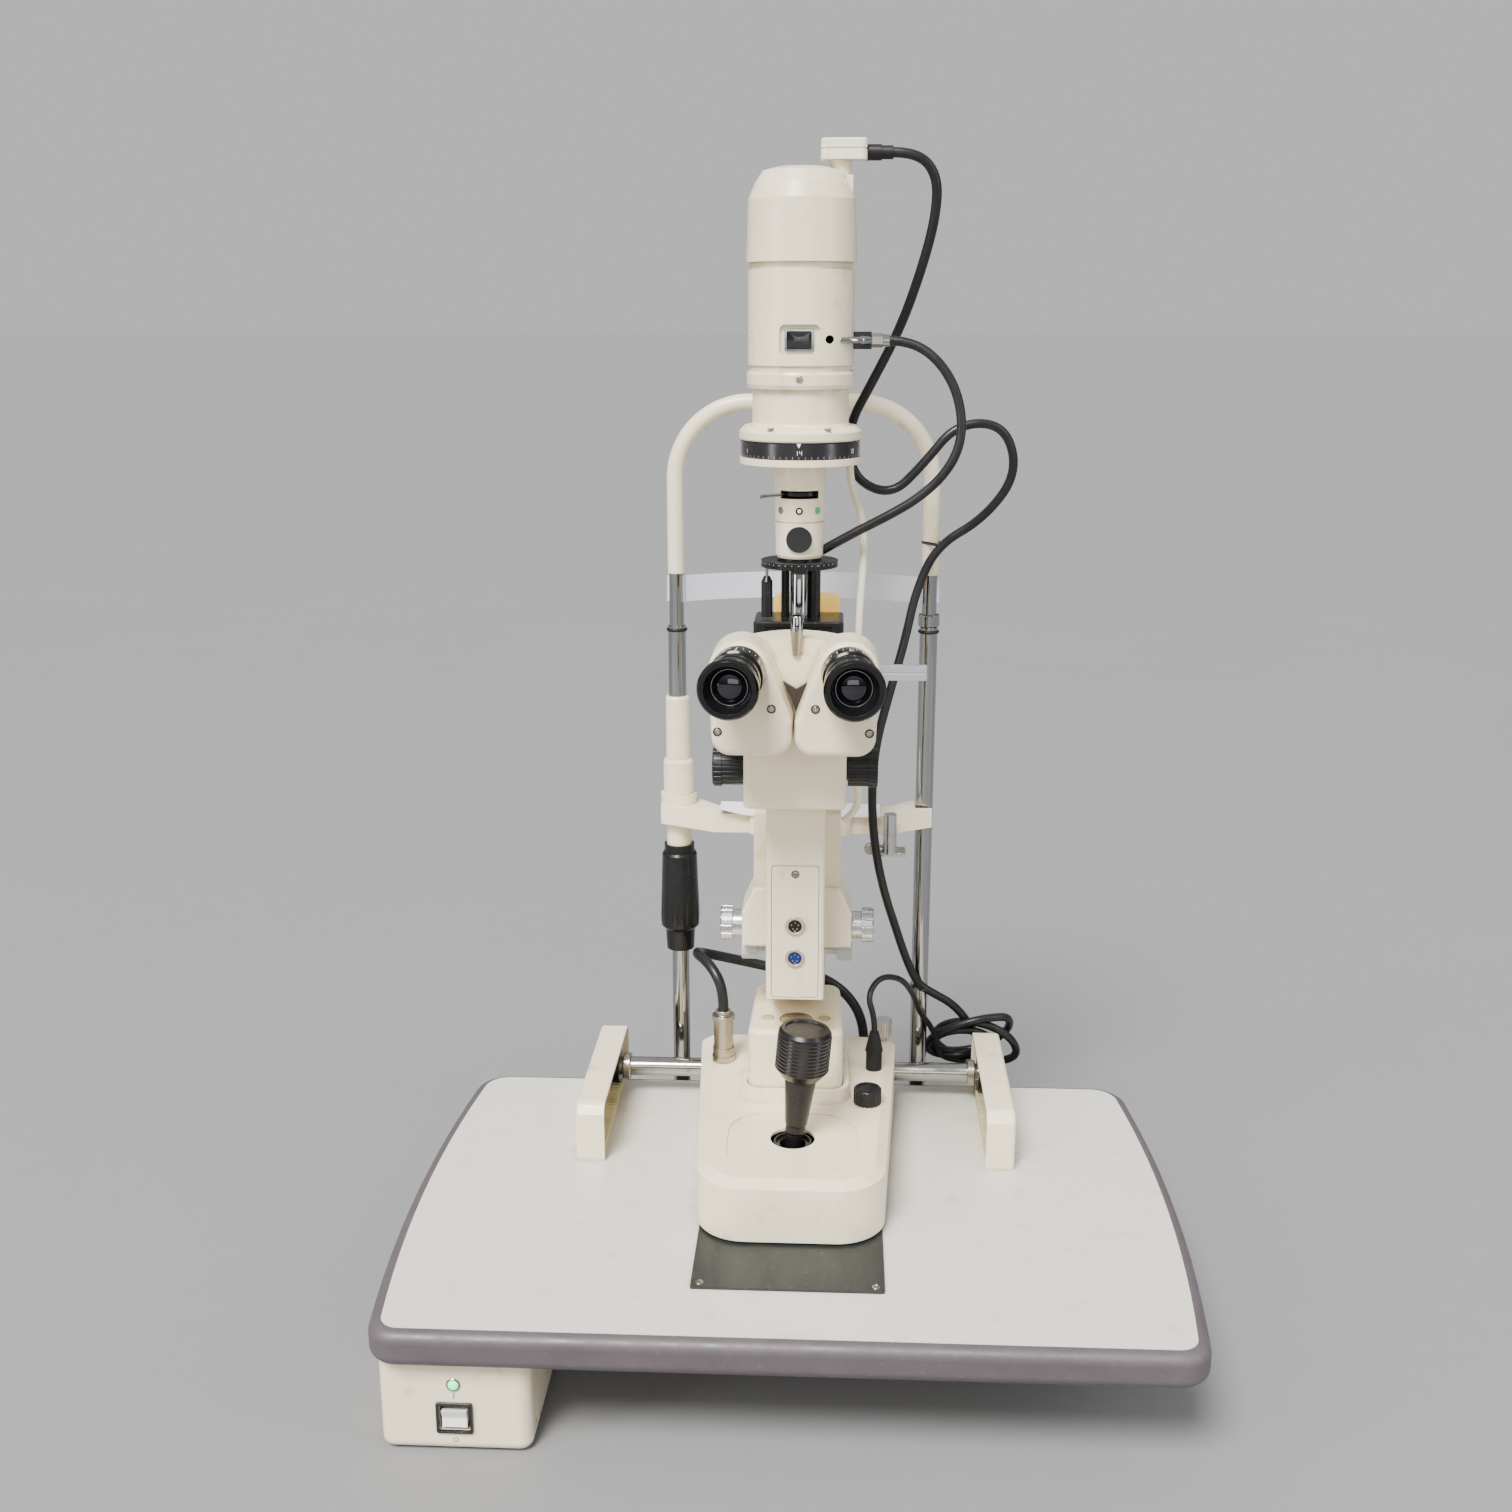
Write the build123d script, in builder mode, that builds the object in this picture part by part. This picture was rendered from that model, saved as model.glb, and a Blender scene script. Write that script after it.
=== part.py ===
"""Slit lamp on its own instrument table top.

Frame: origin at the centre of the stand's bolt pattern on the table top's underside,
+Z up, +X to the right as the examiner sits, +Y towards the patient.  Millimetres.
"""
from build123d import *
import os
from math import acos, cos, pi, radians, sin, tan

os.makedirs("parts", exist_ok=True)

# ---------------------------------------------------------------- driving dimensions
# table top
TABLE_T = 26.0
TABLE_FRONT = -201.0
TABLE_REAR = 189.0
TABLE_HALF_CORNER = 273.0
TABLE_HALF_MIDDLE = 285.0
EDGE_BAND = 8.0
STAND_SPACING_X = 160.0
STAND_SPACING_Y = 120.0
STAND_HOLE_R = 3.4
STAND_HOLE_DEPTH = 18.0

# glide plate
PLATE_HALF_W = 66.0
PLATE_FRONT = -139.0
PLATE_REAR = 150.0
PLATE_T = 2.0
PLATE_TOP = TABLE_T + PLATE_T

# axle, gear wheels and racks
AXLE_Y = 158.0
AXLE_Z = 50.0
AXLE_R = 7.8
GEAR_MODULE = 1.5
GEAR_TEETH = 22
GEAR_R = GEAR_MODULE * GEAR_TEETH / 2
GEAR_IN = 150.0
GEAR_OUT = 158.0
TOOTH_PITCH = pi * GEAR_MODULE
RACK_FRONT = 44.0
RACK_REAR = 188.0
COVER_IN = 147.6
COVER_OUT = 170.0
COVER_FRONT = 36.0
COVER_REAR = 195.0
COVER_TOP = 73.0
COVER_WALL = 2.5

# base
BASE_FRONT = -84.0
BASE_REAR = 176.0
BASE_HALF_FRONT = 66.0
BASE_HALF_REAR = 82.0
BASE_BOTTOM = 30.0
BASE_TOP = 76.0
BASE_WALL = 3.0
STICK_Y = -14.0
STICK_Z = 60.0
STICK_LEAN = 5.0

# pedestal block on its guide column
BLOCK_FRONT = 48.0
BLOCK_REAR = 146.0
BLOCK_HALF_FRONT = 37.0
BLOCK_HALF_REAR = 34.0
BLOCK_BOTTOM = 58.0
BLOCK_TOP = 133.0
GUIDE_Y = 100.0
GUIDE_R = 13.0

# common upright axis of the two arms
PIVOT_Y = 155.0
PIVOT_R = 11.0
HUB_R = 20.0
RUNNING = 0.05

# microscope
ARM_FRONT = 18.0
ARM_BACK = 43.0
ARM_HALF_W = 21.5
ARM_LOW = 140.0
ARM_STEP = 172.0
BODY_LOW = 330.0
BODY_TOP = 384.0
BODY_FRONT = -20.0
BODY_BACK = 42.0
BODY_HALF_W = 36.0
OPTIC_Z = 356.0
PLATE_FACE = -22.0
PRISM_X = 20.0
PRISM_Z = 405.0
EYE_X = 36.0
EYE_Z = 437.0
HOUSING_FRONT = -62.0
HOUSING_BACK = -23.9
CONVERGE = 4.0

# illumination
LAMP_Y = 85.0
FIBRE_Z = 647.0
TILT_Z = 207.0
COLUMN_TOP = 300.0
YOKE_TOP = 433.0
BOX_TOP = 448.0

# headrest
POST_X = 102.0
POST_Y = 200.0
POST_R = 7.25
POST_THIN_R = 6.0
ARCH_R = 6.8
ARCH_TOP = 598.0
CHIN_Z = 255.0


def on_axis(x, y, z, direction):
    """Work plane at a point, facing along a direction."""
    return Plane(origin=(x, y, z), z_dir=direction)


def save(builder, name):
    builder.part.label = name
    export_step(builder.part, f"parts/{name}.step")


def table_outline(inset):
    """Table outline with barrel sides, moved in by inset."""
    half = TABLE_HALF_CORNER - inset
    middle = TABLE_HALF_MIDDLE - inset
    front = TABLE_FRONT + inset
    rear = TABLE_REAR - inset
    with BuildSketch(mode=Mode.PRIVATE) as outline:
        with BuildLine():
            Line((-half, front), (half, front))
            ThreePointArc((half, front), (middle, (front + rear) / 2), (half, rear))
            Line((half, rear), (-half, rear))
            ThreePointArc((-half, rear), (-middle, (front + rear) / 2), (-half, front))
        make_face()
        fillet(outline.vertices().group_by(Axis.Y)[0], 22 - inset)
        fillet(outline.vertices().group_by(Axis.Y)[-1], 28 - inset)
    return outline.sketch


def base_outline(inset):
    """Base outline, wider at the rear, moved in by inset."""
    with BuildSketch(mode=Mode.PRIVATE) as outline:
        with BuildLine():
            Polyline(
                (-BASE_HALF_FRONT, BASE_FRONT),
                (BASE_HALF_FRONT, BASE_FRONT),
                (BASE_HALF_REAR, BASE_REAR),
                (-BASE_HALF_REAR, BASE_REAR),
                close=True,
            )
        make_face()
        fillet(outline.vertices().group_by(Axis.Y)[0], 36)
        fillet(outline.vertices().group_by(Axis.Y)[-1], 14)
        if inset:
            offset(amount=-inset)
    return outline.sketch


def block_outline(grow):
    """Pedestal block outline, grown by grow."""
    with BuildSketch(mode=Mode.PRIVATE) as outline:
        with BuildLine():
            Polyline(
                (-BLOCK_HALF_FRONT, BLOCK_FRONT),
                (BLOCK_HALF_FRONT, BLOCK_FRONT),
                (BLOCK_HALF_REAR, BLOCK_REAR),
                (-BLOCK_HALF_REAR, BLOCK_REAR),
                close=True,
            )
        make_face()
        fillet(outline.vertices(), 10)
        if grow:
            offset(amount=grow)
    return outline.sketch


def ribbed_disc(radius, ribs, depth, height, ramp=0.0):
    """Knob blank along Z with rounded flutes cut in its rim."""
    with BuildPart(mode=Mode.PRIVATE) as knob:
        Cylinder(radius, height, align=(Align.CENTER, Align.CENTER, Align.MIN))
        if ramp:
            chamfer(knob.edges().group_by(Axis.Z)[-1], ramp)
        with BuildSketch():
            with PolarLocations(radius + depth * 0.4, ribs):
                Circle(depth)
        extrude(amount=height, mode=Mode.SUBTRACT)
    return knob.part


# ---------------------------------------------------------------- table
screw_spots = [
    (sx * (PLATE_HALF_W - 6), y)
    for sx in (-1, 1)
    for y in (PLATE_FRONT + 6, PLATE_REAR - 6)
]
SCREW_R = 1.6
SCREW_HEAD_R = 3.2

with BuildPart() as table_top:
    with BuildSketch():
        add(table_outline(EDGE_BAND))
    extrude(amount=TABLE_T)
    with BuildSketch():
        with GridLocations(STAND_SPACING_X, STAND_SPACING_Y, 2, 2):
            Circle(STAND_HOLE_R)
    extrude(amount=STAND_HOLE_DEPTH, mode=Mode.SUBTRACT)
    with BuildSketch(Plane.XY.offset(TABLE_T - 12)):
        with Locations(*screw_spots):
            Circle(SCREW_R + 0.1)
    extrude(amount=12, mode=Mode.SUBTRACT)
save(table_top, "table_top")

with BuildPart() as table_edge_band:
    with BuildSketch():
        add(table_outline(0))
    extrude(amount=TABLE_T - 0.3)
    rims = table_edge_band.edges().group_by(Axis.Z)
    fillet(rims[0] + rims[-1], EDGE_BAND - 0.1)
    with BuildSketch():
        add(table_outline(EDGE_BAND))
    extrude(amount=TABLE_T, mode=Mode.SUBTRACT)
save(table_edge_band, "table_edge_band")

with BuildPart() as glide_plate:
    plate_mid = (PLATE_FRONT + PLATE_REAR) / 2
    with BuildSketch(Plane.XY.offset(TABLE_T)):
        with Locations((0, plate_mid)):
            RectangleRounded(2 * PLATE_HALF_W, PLATE_REAR - PLATE_FRONT, 1.5)
    extrude(amount=PLATE_T)
    with Locations(*[(x, y, PLATE_TOP) for x, y in screw_spots]):
        CounterSinkHole(SCREW_R + 0.1, SCREW_HEAD_R + 0.1, depth=PLATE_T)
save(glide_plate, "glide_plate")

# ---------------------------------------------------------------- racks, axle and wheels
rack_pitch_z = AXLE_Z - GEAR_R
rack_root = rack_pitch_z - 1.25 * GEAR_MODULE
rack_crest = rack_pitch_z + GEAR_MODULE
FLANK = tan(radians(20))
BACKLASH = 0.4
tooth_half = TOOTH_PITCH / 4 - BACKLASH / 4
first_tooth = int((RACK_FRONT - AXLE_Y) / TOOTH_PITCH) + 1
last_tooth = int((RACK_REAR - AXLE_Y) / TOOTH_PITCH) - 1

with BuildPart() as toothed_racks:
    for side in (-1, 1):
        with BuildSketch(Plane.YZ.offset(side * (GEAR_IN + GEAR_OUT) / 2)):
            with Locations(((RACK_FRONT + RACK_REAR) / 2, (TABLE_T + rack_root) / 2)):
                Rectangle(RACK_REAR - RACK_FRONT, rack_root - TABLE_T)
            for k in range(first_tooth, last_tooth):
                mid = AXLE_Y + (k + 0.5) * TOOTH_PITCH
                low = tooth_half + (rack_pitch_z - rack_root + 0.2) * FLANK
                high = tooth_half - (rack_crest - rack_pitch_z) * FLANK
                with BuildLine():
                    Polyline(
                        (mid - low, rack_root - 0.2),
                        (mid + low, rack_root - 0.2),
                        (mid + high, rack_crest),
                        (mid - high, rack_crest),
                        close=True,
                    )
                make_face()
        extrude(amount=(GEAR_OUT - GEAR_IN + 2) / 2, both=True)
save(toothed_racks, "toothed_racks")

with BuildPart() as rack_covers:
    for side in (-1, 1):
        with BuildSketch(Plane.YZ.offset(side * COVER_IN)):
            with BuildLine():
                Polyline(
                    (COVER_FRONT, TABLE_T),
                    (COVER_REAR, TABLE_T),
                    (COVER_REAR, COVER_TOP),
                    (COVER_FRONT + 6, COVER_TOP),
                    (COVER_FRONT, COVER_TOP - 8),
                    close=True,
                )
            make_face()
        extrude(amount=side * (COVER_OUT - COVER_IN))
    upright = rack_covers.edges().filter_by(Axis.X).group_by(Axis.Z)
    fillet(upright[-1].sort_by(Axis.Y)[-2:], 9)
    fillet(rack_covers.edges().filter_by(Axis.X).group_by(Axis.Z)[-1], 7)
    outer_faces = rack_covers.faces().group_by(Axis.X)
    fillet(
        [
            e
            for f in outer_faces[0] + outer_faces[-1]
            for e in f.edges()
            if e.center().Z > TABLE_T + 1
        ],
        3,
    )
    for side in (-1, 1):
        with BuildSketch(Plane.YZ.offset(side * (COVER_IN - 1))):
            with Locations(((COVER_FRONT + COVER_REAR) / 2, (TABLE_T + COVER_TOP) / 2)):
                RectangleRounded(
                    COVER_REAR - COVER_FRONT - 2 * COVER_WALL,
                    COVER_TOP - TABLE_T - 2 * COVER_WALL,
                    6,
                )
            with Locations(((COVER_FRONT + COVER_REAR) / 2, TABLE_T + 6)):
                Rectangle(COVER_REAR - COVER_FRONT - 2 * COVER_WALL, 12)
        extrude(amount=side * (COVER_OUT - COVER_IN + 1 - COVER_WALL), mode=Mode.SUBTRACT)
save(rack_covers, "rack_covers")

with BuildPart() as axle:
    with BuildSketch(on_axis(0, AXLE_Y, AXLE_Z, (1, 0, 0))):
        Circle(AXLE_R)
    extrude(amount=GEAR_OUT + 4, both=True)
    chamfer(axle.edges(), 1)
save(axle, "axle")

with BuildPart() as axle_bearings:
    for side in (-1, 1):
        with BuildSketch(on_axis(side * 141, AXLE_Y, AXLE_Z, (side, 0, 0))):
            Circle(11)
            Circle(AXLE_R + RUNNING, mode=Mode.SUBTRACT)
        extrude(amount=6.5)
    chamfer(axle_bearings.edges().filter_by(GeomType.CIRCLE).group_by(SortBy.RADIUS)[-1], 0.8)
save(axle_bearings, "axle_bearings")

base_circle = GEAR_R * cos(radians(20))
tip_r = GEAR_R + GEAR_MODULE
root_r = GEAR_R - 1.25 * GEAR_MODULE
pitch_half_angle = pi / (2 * GEAR_TEETH) - BACKLASH / (2 * GEAR_R)


def involute(radius):
    """Roll-off angle of the involute at a radius."""
    pressure = acos(base_circle / radius)
    return tan(pressure) - pressure


flank_points = []
for step in range(5):
    radius = base_circle + (tip_r - base_circle) * step / 4
    angle = pitch_half_angle + involute(GEAR_R) - involute(radius)
    flank_points.append((radius, angle))
tooth_side = [(root_r - 0.5, flank_points[0][1])] + flank_points
tooth = [(r * cos(a), r * sin(a)) for r, a in tooth_side]
tooth += [(r * cos(a), -r * sin(a)) for r, a in reversed(tooth_side)]

with BuildPart() as axle_gears:
    for side in (-1, 1):
        start = GEAR_IN if side > 0 else -GEAR_OUT
        gear_plane = Plane(origin=(start, AXLE_Y, AXLE_Z), x_dir=(0, 0, -1), z_dir=(1, 0, 0))
        with BuildSketch(gear_plane):
            Circle(root_r)
            with PolarLocations(0, GEAR_TEETH):
                with BuildLine():
                    Polyline(*tooth, close=True)
                make_face()
            Circle(AXLE_R, mode=Mode.SUBTRACT)
        extrude(amount=GEAR_OUT - GEAR_IN)
save(axle_gears, "axle_gears")

# ---------------------------------------------------------------- base
opening_grow = 0.8

with BuildPart() as base_cover:
    with BuildSketch(Plane.XY.offset(BASE_BOTTOM)):
        add(base_outline(0))
    extrude(amount=BASE_TOP - BASE_BOTTOM)
    chamfer(base_cover.faces().sort_by(Axis.Z)[-1].edges(), 5, 8)
    fillet(base_cover.faces().sort_by(Axis.Z)[-1].edges(), 3)
    with BuildSketch(Plane.XY.offset(BASE_TOP - 0.01)):
        add(block_outline(7))
    extrude(amount=10, taper=12)
    with BuildSketch(Plane.XY.offset(BASE_BOTTOM)):
        add(base_outline(BASE_WALL))
    extrude(amount=BASE_TOP - BASE_BOTTOM - BASE_WALL - 6, mode=Mode.SUBTRACT)
    with BuildSketch(Plane.XY.offset(BASE_TOP - BASE_WALL - 6.01)):
        add(base_outline(BASE_WALL + 8))
    extrude(amount=6, mode=Mode.SUBTRACT)
    with BuildSketch(Plane.XY.offset(BASE_BOTTOM)):
        add(block_outline(opening_grow))
    extrude(amount=80, mode=Mode.SUBTRACT)
    with BuildSketch(Plane.XY.offset(BASE_BOTTOM)):
        with Locations((0, STICK_Y)):
            Circle(16.5)
    extrude(amount=80, mode=Mode.SUBTRACT)
    with BuildSketch(Plane.XY.offset(BASE_TOP)):
        with Locations((0, -20)):
            RectangleRounded(96, 90, 30)
    extrude(amount=-0.8, mode=Mode.SUBTRACT)
    with BuildSketch(Plane.YZ.offset(-100)):
        with Locations((AXLE_Y, AXLE_Z)):
            Circle(AXLE_R + 1)
    extrude(amount=200, mode=Mode.SUBTRACT)
save(base_cover, "base_cover")

with BuildPart() as base_plate:
    with BuildSketch(Plane.XY.offset(BASE_BOTTOM)):
        add(base_outline(BASE_WALL + 0.3))
        with Locations((0, STICK_Y)):
            Circle(15, mode=Mode.SUBTRACT)
    extrude(amount=3)
    for side in (-1, 1):
        with BuildSketch(Plane.YZ.offset(side * 60)):
            with Locations((AXLE_Y - 1, 47)):
                RectangleRounded(24, 30, 4)
        extrude(amount=7, both=True)
    with BuildSketch(Plane.YZ.offset(-100)):
        with Locations((AXLE_Y, AXLE_Z)):
            Circle(AXLE_R + RUNNING)
    extrude(amount=200, mode=Mode.SUBTRACT)
save(base_plate, "base_plate")

with BuildPart() as elevation_guide:
    with BuildSketch(Plane.XY.offset(BASE_BOTTOM + 3)):
        with Locations((0, GUIDE_Y)):
            Circle(22)
    extrude(amount=5)
    with BuildSketch(Plane.XY.offset(BASE_BOTTOM + 3)):
        with Locations((0, GUIDE_Y)):
            Circle(GUIDE_R)
    extrude(amount=77)
save(elevation_guide, "elevation_guide")

with BuildPart() as supply_connector:
    with Locations((-60, 118, BASE_TOP)):
        Cylinder(9.3, 5, align=(Align.CENTER, Align.CENTER, Align.MIN))
        Cylinder(8.7, 12, align=(Align.CENTER, Align.CENTER, Align.MIN))
    with Locations((-60, 118, BASE_TOP + 12)):
        Cylinder(7.9, 24, align=(Align.CENTER, Align.CENTER, Align.MIN))
    with Locations((-60, 118, BASE_TOP + 36)):
        Cylinder(9.2, 4, align=(Align.CENTER, Align.CENTER, Align.MIN))
        Cylinder(6.0, 8, align=(Align.CENTER, Align.CENTER, Align.MIN))
    fillet(supply_connector.edges().filter_by(GeomType.CIRCLE).group_by(Axis.Z)[-2:], 0.6)
save(supply_connector, "supply_connector")
SUPPLY_EXIT = (-60, 118, BASE_TOP + 44)

with BuildPart() as lamp_plug:
    with Locations((62, 107, BASE_TOP)):
        Cylinder(6.4, 16, align=(Align.CENTER, Align.CENTER, Align.MIN))
    with Locations((62, 107, BASE_TOP + 16)):
        Cone(7.2, 3.6, 16, align=(Align.CENTER, Align.CENTER, Align.MIN))
save(lamp_plug, "lamp_plug")
PLUG_EXIT = (62, 107, BASE_TOP + 32)

with BuildPart() as base_lock_knob:
    with Locations((71, 163, BASE_TOP)):
        Cylinder(3, 4.5, align=(Align.CENTER, Align.CENTER, Align.MIN))
    add(ribbed_disc(6.8, 30, 0.5, 15, 0.8).moved(Location((71, 163, BASE_TOP + 4))))
save(base_lock_knob, "base_lock_knob")

with BuildPart() as brightness_knob:
    add(ribbed_disc(10.8, 18, 1.2, 12, 1).moved(Location((56, 46, BASE_TOP + 0.4))))
    with BuildSketch(Plane.XY.offset(BASE_TOP + 12.4)):
        with Locations((56, 46)):
            Circle(8)
    extrude(amount=-0.8, mode=Mode.SUBTRACT)
save(brightness_knob, "brightness_knob")

# ---------------------------------------------------------------- joystick
with BuildPart() as joystick_dish:
    with BuildSketch(Plane.XZ.offset(-STICK_Y)):
        with BuildLine():
            Polyline(
                (9.7, 56),
                (12.6, 56),
                (12.6, 69),
                (14.0, 69),
                (14.0, 73.2),
                (12.8, 73.2),
                (12.8, 71),
                (9.7, 71),
                close=True,
            )
        make_face()
    revolve(axis=Axis((0, STICK_Y, 0), (0, 0, 1)))
save(joystick_dish, "joystick_dish")

lean = (sin(radians(STICK_LEAN)), 0, cos(radians(STICK_LEAN)))
stick_plane = Plane(origin=(0, STICK_Y, STICK_Z), x_dir=(lean[2], 0, -lean[0]), z_dir=lean)
side_of_stick = Plane(origin=stick_plane.origin, x_dir=stick_plane.x_dir, z_dir=(0, -1, 0))
stick_axis = Axis((0, STICK_Y, STICK_Z), lean)

with BuildPart() as joystick_stem:
    with BuildSketch(side_of_stick):
        with BuildLine():
            Polyline(
                (0, -24),
                (4, -24),
                (4, -8),
                (7.6, -5),
                (7.6, 5),
                (6.2, 8),
                (6.2, 20),
                (7.8, 22),
                (7.4, 27),
                (8.2, 28),
                (11.8, 64),
                (0, 64),
                close=True,
            )
        make_face()
    revolve(axis=stick_axis)
    with Locations(stick_plane.from_local_coords((0, 0, -25.6))):
        Sphere(6)
save(joystick_stem, "joystick_stem")

with BuildPart() as joystick_grip:
    with BuildSketch(side_of_stick):
        with BuildLine():
            ridge = 1.4
            rings = [(19.9 - 0.5 * (k % 2), 73 + k * ridge) for k in range(20)]
            Polyline(
                (0, 64.3),
                (12.2, 64.3),
                (14.5, 66),
                (19.2, 72),
                *rings,
                (19.4, 101),
                (17.6, 103.5),
                (15.0, 103.5),
                (14.4, 102.3),
                (0, 102.3),
                close=True,
            )
        make_face()
    revolve(axis=stick_axis)
save(joystick_grip, "joystick_grip")

# ---------------------------------------------------------------- pedestal block and pivot
with BuildPart() as pedestal_block:
    with BuildSketch(Plane.XY.offset(BLOCK_BOTTOM)):
        add(block_outline(0))
    extrude(amount=BLOCK_TOP - BLOCK_BOTTOM)
    fillet(pedestal_block.faces().sort_by(Axis.Z)[-1].edges(), 5)
    with BuildSketch(Plane.XY.offset(BLOCK_BOTTOM)):
        add(block_outline(-3.5))
    extrude(amount=BLOCK_TOP - BLOCK_BOTTOM - 5, mode=Mode.SUBTRACT)
    with BuildSketch(Plane.XY.offset(75)):
        with Locations((0, GUIDE_Y)):
            Circle(19)
    extrude(amount=BLOCK_TOP - 77)
    with BuildSketch(Plane.XY.offset(75)):
        with Locations((0, GUIDE_Y)):
            Circle(GUIDE_R + RUNNING)
    extrude(amount=BLOCK_TOP - 80, mode=Mode.SUBTRACT)
    with BuildSketch(Plane.XY.offset(103)):
        with Locations((0, PIVOT_Y)):
            Circle(HUB_R + 1)
        with Locations((0, (BLOCK_REAR - 3 + PIVOT_Y) / 2)):
            Rectangle(2 * HUB_R + 2, PIVOT_Y - BLOCK_REAR + 3)
    extrude(amount=34)
    with BuildSketch(Plane.XY.offset(103)):
        with Locations((0, PIVOT_Y)):
            Circle(PIVOT_R)
    extrude(amount=34, mode=Mode.SUBTRACT)
    with BuildSketch(Plane.XY.offset(BLOCK_TOP)):
        with Locations((0, 72)):
            Circle(12.8)
        with Locations((-22, 74), (22, 74)):
            Circle(5.2)
    extrude(amount=-1.2, mode=Mode.SUBTRACT)
save(pedestal_block, "pedestal_block")

with BuildPart() as pivot_shaft:
    with BuildSketch(Plane.XY.offset(103)):
        with Locations((0, PIVOT_Y)):
            Circle(PIVOT_R)
    extrude(amount=118)
    with BuildSketch(Plane.XY.offset(137)):
        with Locations((0, PIVOT_Y)):
            Circle(18)
    extrude(amount=ARM_LOW - 137 - 0.2)
    with BuildSketch(Plane.XY.offset(214.4)):
        with Locations((0, PIVOT_Y)):
            Circle(16)
    extrude(amount=5)
save(pivot_shaft, "pivot_shaft")

# ---------------------------------------------------------------- microscope
with BuildPart() as microscope_arm:
    with BuildSketch(Plane.YZ):
        with BuildLine():
            Polyline(
                (ARM_FRONT, ARM_STEP),
                (ARM_FRONT, BODY_LOW),
                (ARM_BACK, BODY_LOW),
                (ARM_BACK, ARM_STEP),
                (PIVOT_Y, ARM_STEP),
                (PIVOT_Y, ARM_LOW),
                (98, ARM_LOW),
                (ARM_FRONT + 6, ARM_STEP - 1),
                close=True,
            )
        make_face()
    extrude(amount=ARM_HALF_W, both=True)
    elbow = microscope_arm.edges().filter_by(Axis.X)
    elbow = elbow.filter_by(lambda e: abs(e.center().Y - ARM_BACK) < 1)
    fillet(elbow.filter_by(lambda e: abs(e.center().Z - ARM_STEP) < 1), 10)
    front = microscope_arm.faces().sort_by(Axis.Y)[0]
    fillet(front.edges().filter_by(Axis.Z), 3)
    with BuildSketch(Plane.XY.offset(ARM_LOW)):
        with Locations((0, PIVOT_Y)):
            Circle(ARM_HALF_W)
    extrude(amount=ARM_STEP - ARM_LOW)
    with BuildSketch(Plane.XY.offset(ARM_LOW)):
        with Locations((0, PIVOT_Y)):
            Circle(PIVOT_R + RUNNING)
    extrude(amount=ARM_STEP - ARM_LOW, mode=Mode.SUBTRACT)
    with BuildSketch(Plane.XZ.offset(-ARM_FRONT)):
        with Locations((0, 225)):
            RectangleRounded(35, 103, 2.5)
    extrude(amount=-2.4, mode=Mode.SUBTRACT)
    with BuildSketch(Plane.XZ.offset(-ARM_FRONT)):
        with Locations((0, 230), (0, 205)):
            Circle(6.6)
    extrude(amount=-18, mode=Mode.SUBTRACT)
save(microscope_arm, "microscope_arm")

with BuildPart() as arm_service_cover:
    with BuildSketch(Plane.XZ.offset(-ARM_FRONT - 2.3)):
        with Locations((0, 225)):
            RectangleRounded(34.2, 102.2, 2.2)
        with Locations((0, 230), (0, 205)):
            Circle(6.6, mode=Mode.SUBTRACT)
    extrude(amount=2.5)
save(arm_service_cover, "arm_service_cover")

with BuildPart() as microscope_body:
    with Locations((0, (BODY_FRONT + BODY_BACK) / 2, (BODY_LOW + BODY_TOP) / 2)):
        Box(2 * BODY_HALF_W, BODY_BACK - BODY_FRONT, BODY_TOP - BODY_LOW)
    fillet(microscope_body.edges().filter_by(Axis.Z), 5)
    fillet(microscope_body.faces().sort_by(Axis.Z)[0].edges(), 2.5)
    with BuildSketch(Plane.XZ.offset(-PLATE_FACE)):
        with BuildLine():
            Polyline((-30, 380), (30, 380), (34, 440), (30, 449))
            ThreePointArc((30, 449), (0, 452), (-30, 449))
            Polyline((-30, 449), (-34, 440), (-30, 380))
        make_face()
    extrude(amount=-34)
    with BuildSketch(Plane.XZ.offset(-PLATE_FACE)):
        with Locations((0, 412)):
            Circle(29)
    extrude(amount=1.5)
    with BuildSketch(Plane.XZ.offset(30)):
        with Locations((-PRISM_X, PRISM_Z), (PRISM_X, PRISM_Z)):
            Circle(6 + RUNNING)
    extrude(amount=-18.5, mode=Mode.SUBTRACT)
    with BuildSketch(Plane.XZ.offset(-BODY_BACK)):
        with Locations((0, OPTIC_Z)):
            Circle(24)
    extrude(amount=12, mode=Mode.SUBTRACT)
    with BuildSketch(Plane.YZ.offset(-50)):
        with Locations((0, OPTIC_Z)):
            Circle(9 + RUNNING)
    extrude(amount=100, mode=Mode.SUBTRACT)
    with BuildSketch(Plane.YZ.offset(-24)):
        with Locations((3, 424)):
            Rectangle(6.4, 11.4)
    extrude(amount=80, mode=Mode.SUBTRACT)
save(microscope_body, "microscope_body")

with BuildPart() as filter_bar:
    with BuildSketch(Plane.YZ.offset(-20)):
        with Locations((3, 424)):
            Rectangle(5.6, 10.4)
    extrude(amount=111)
    chamfer(filter_bar.faces().sort_by(Axis.X)[-1].edges(), 0.6)
    with BuildSketch(Plane.XZ.offset(-0.2)):
        with Locations((66, 424)):
            Rectangle(46, 1.2)
    extrude(amount=-0.8, mode=Mode.SUBTRACT)
save(filter_bar, "filter_bar")

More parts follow.
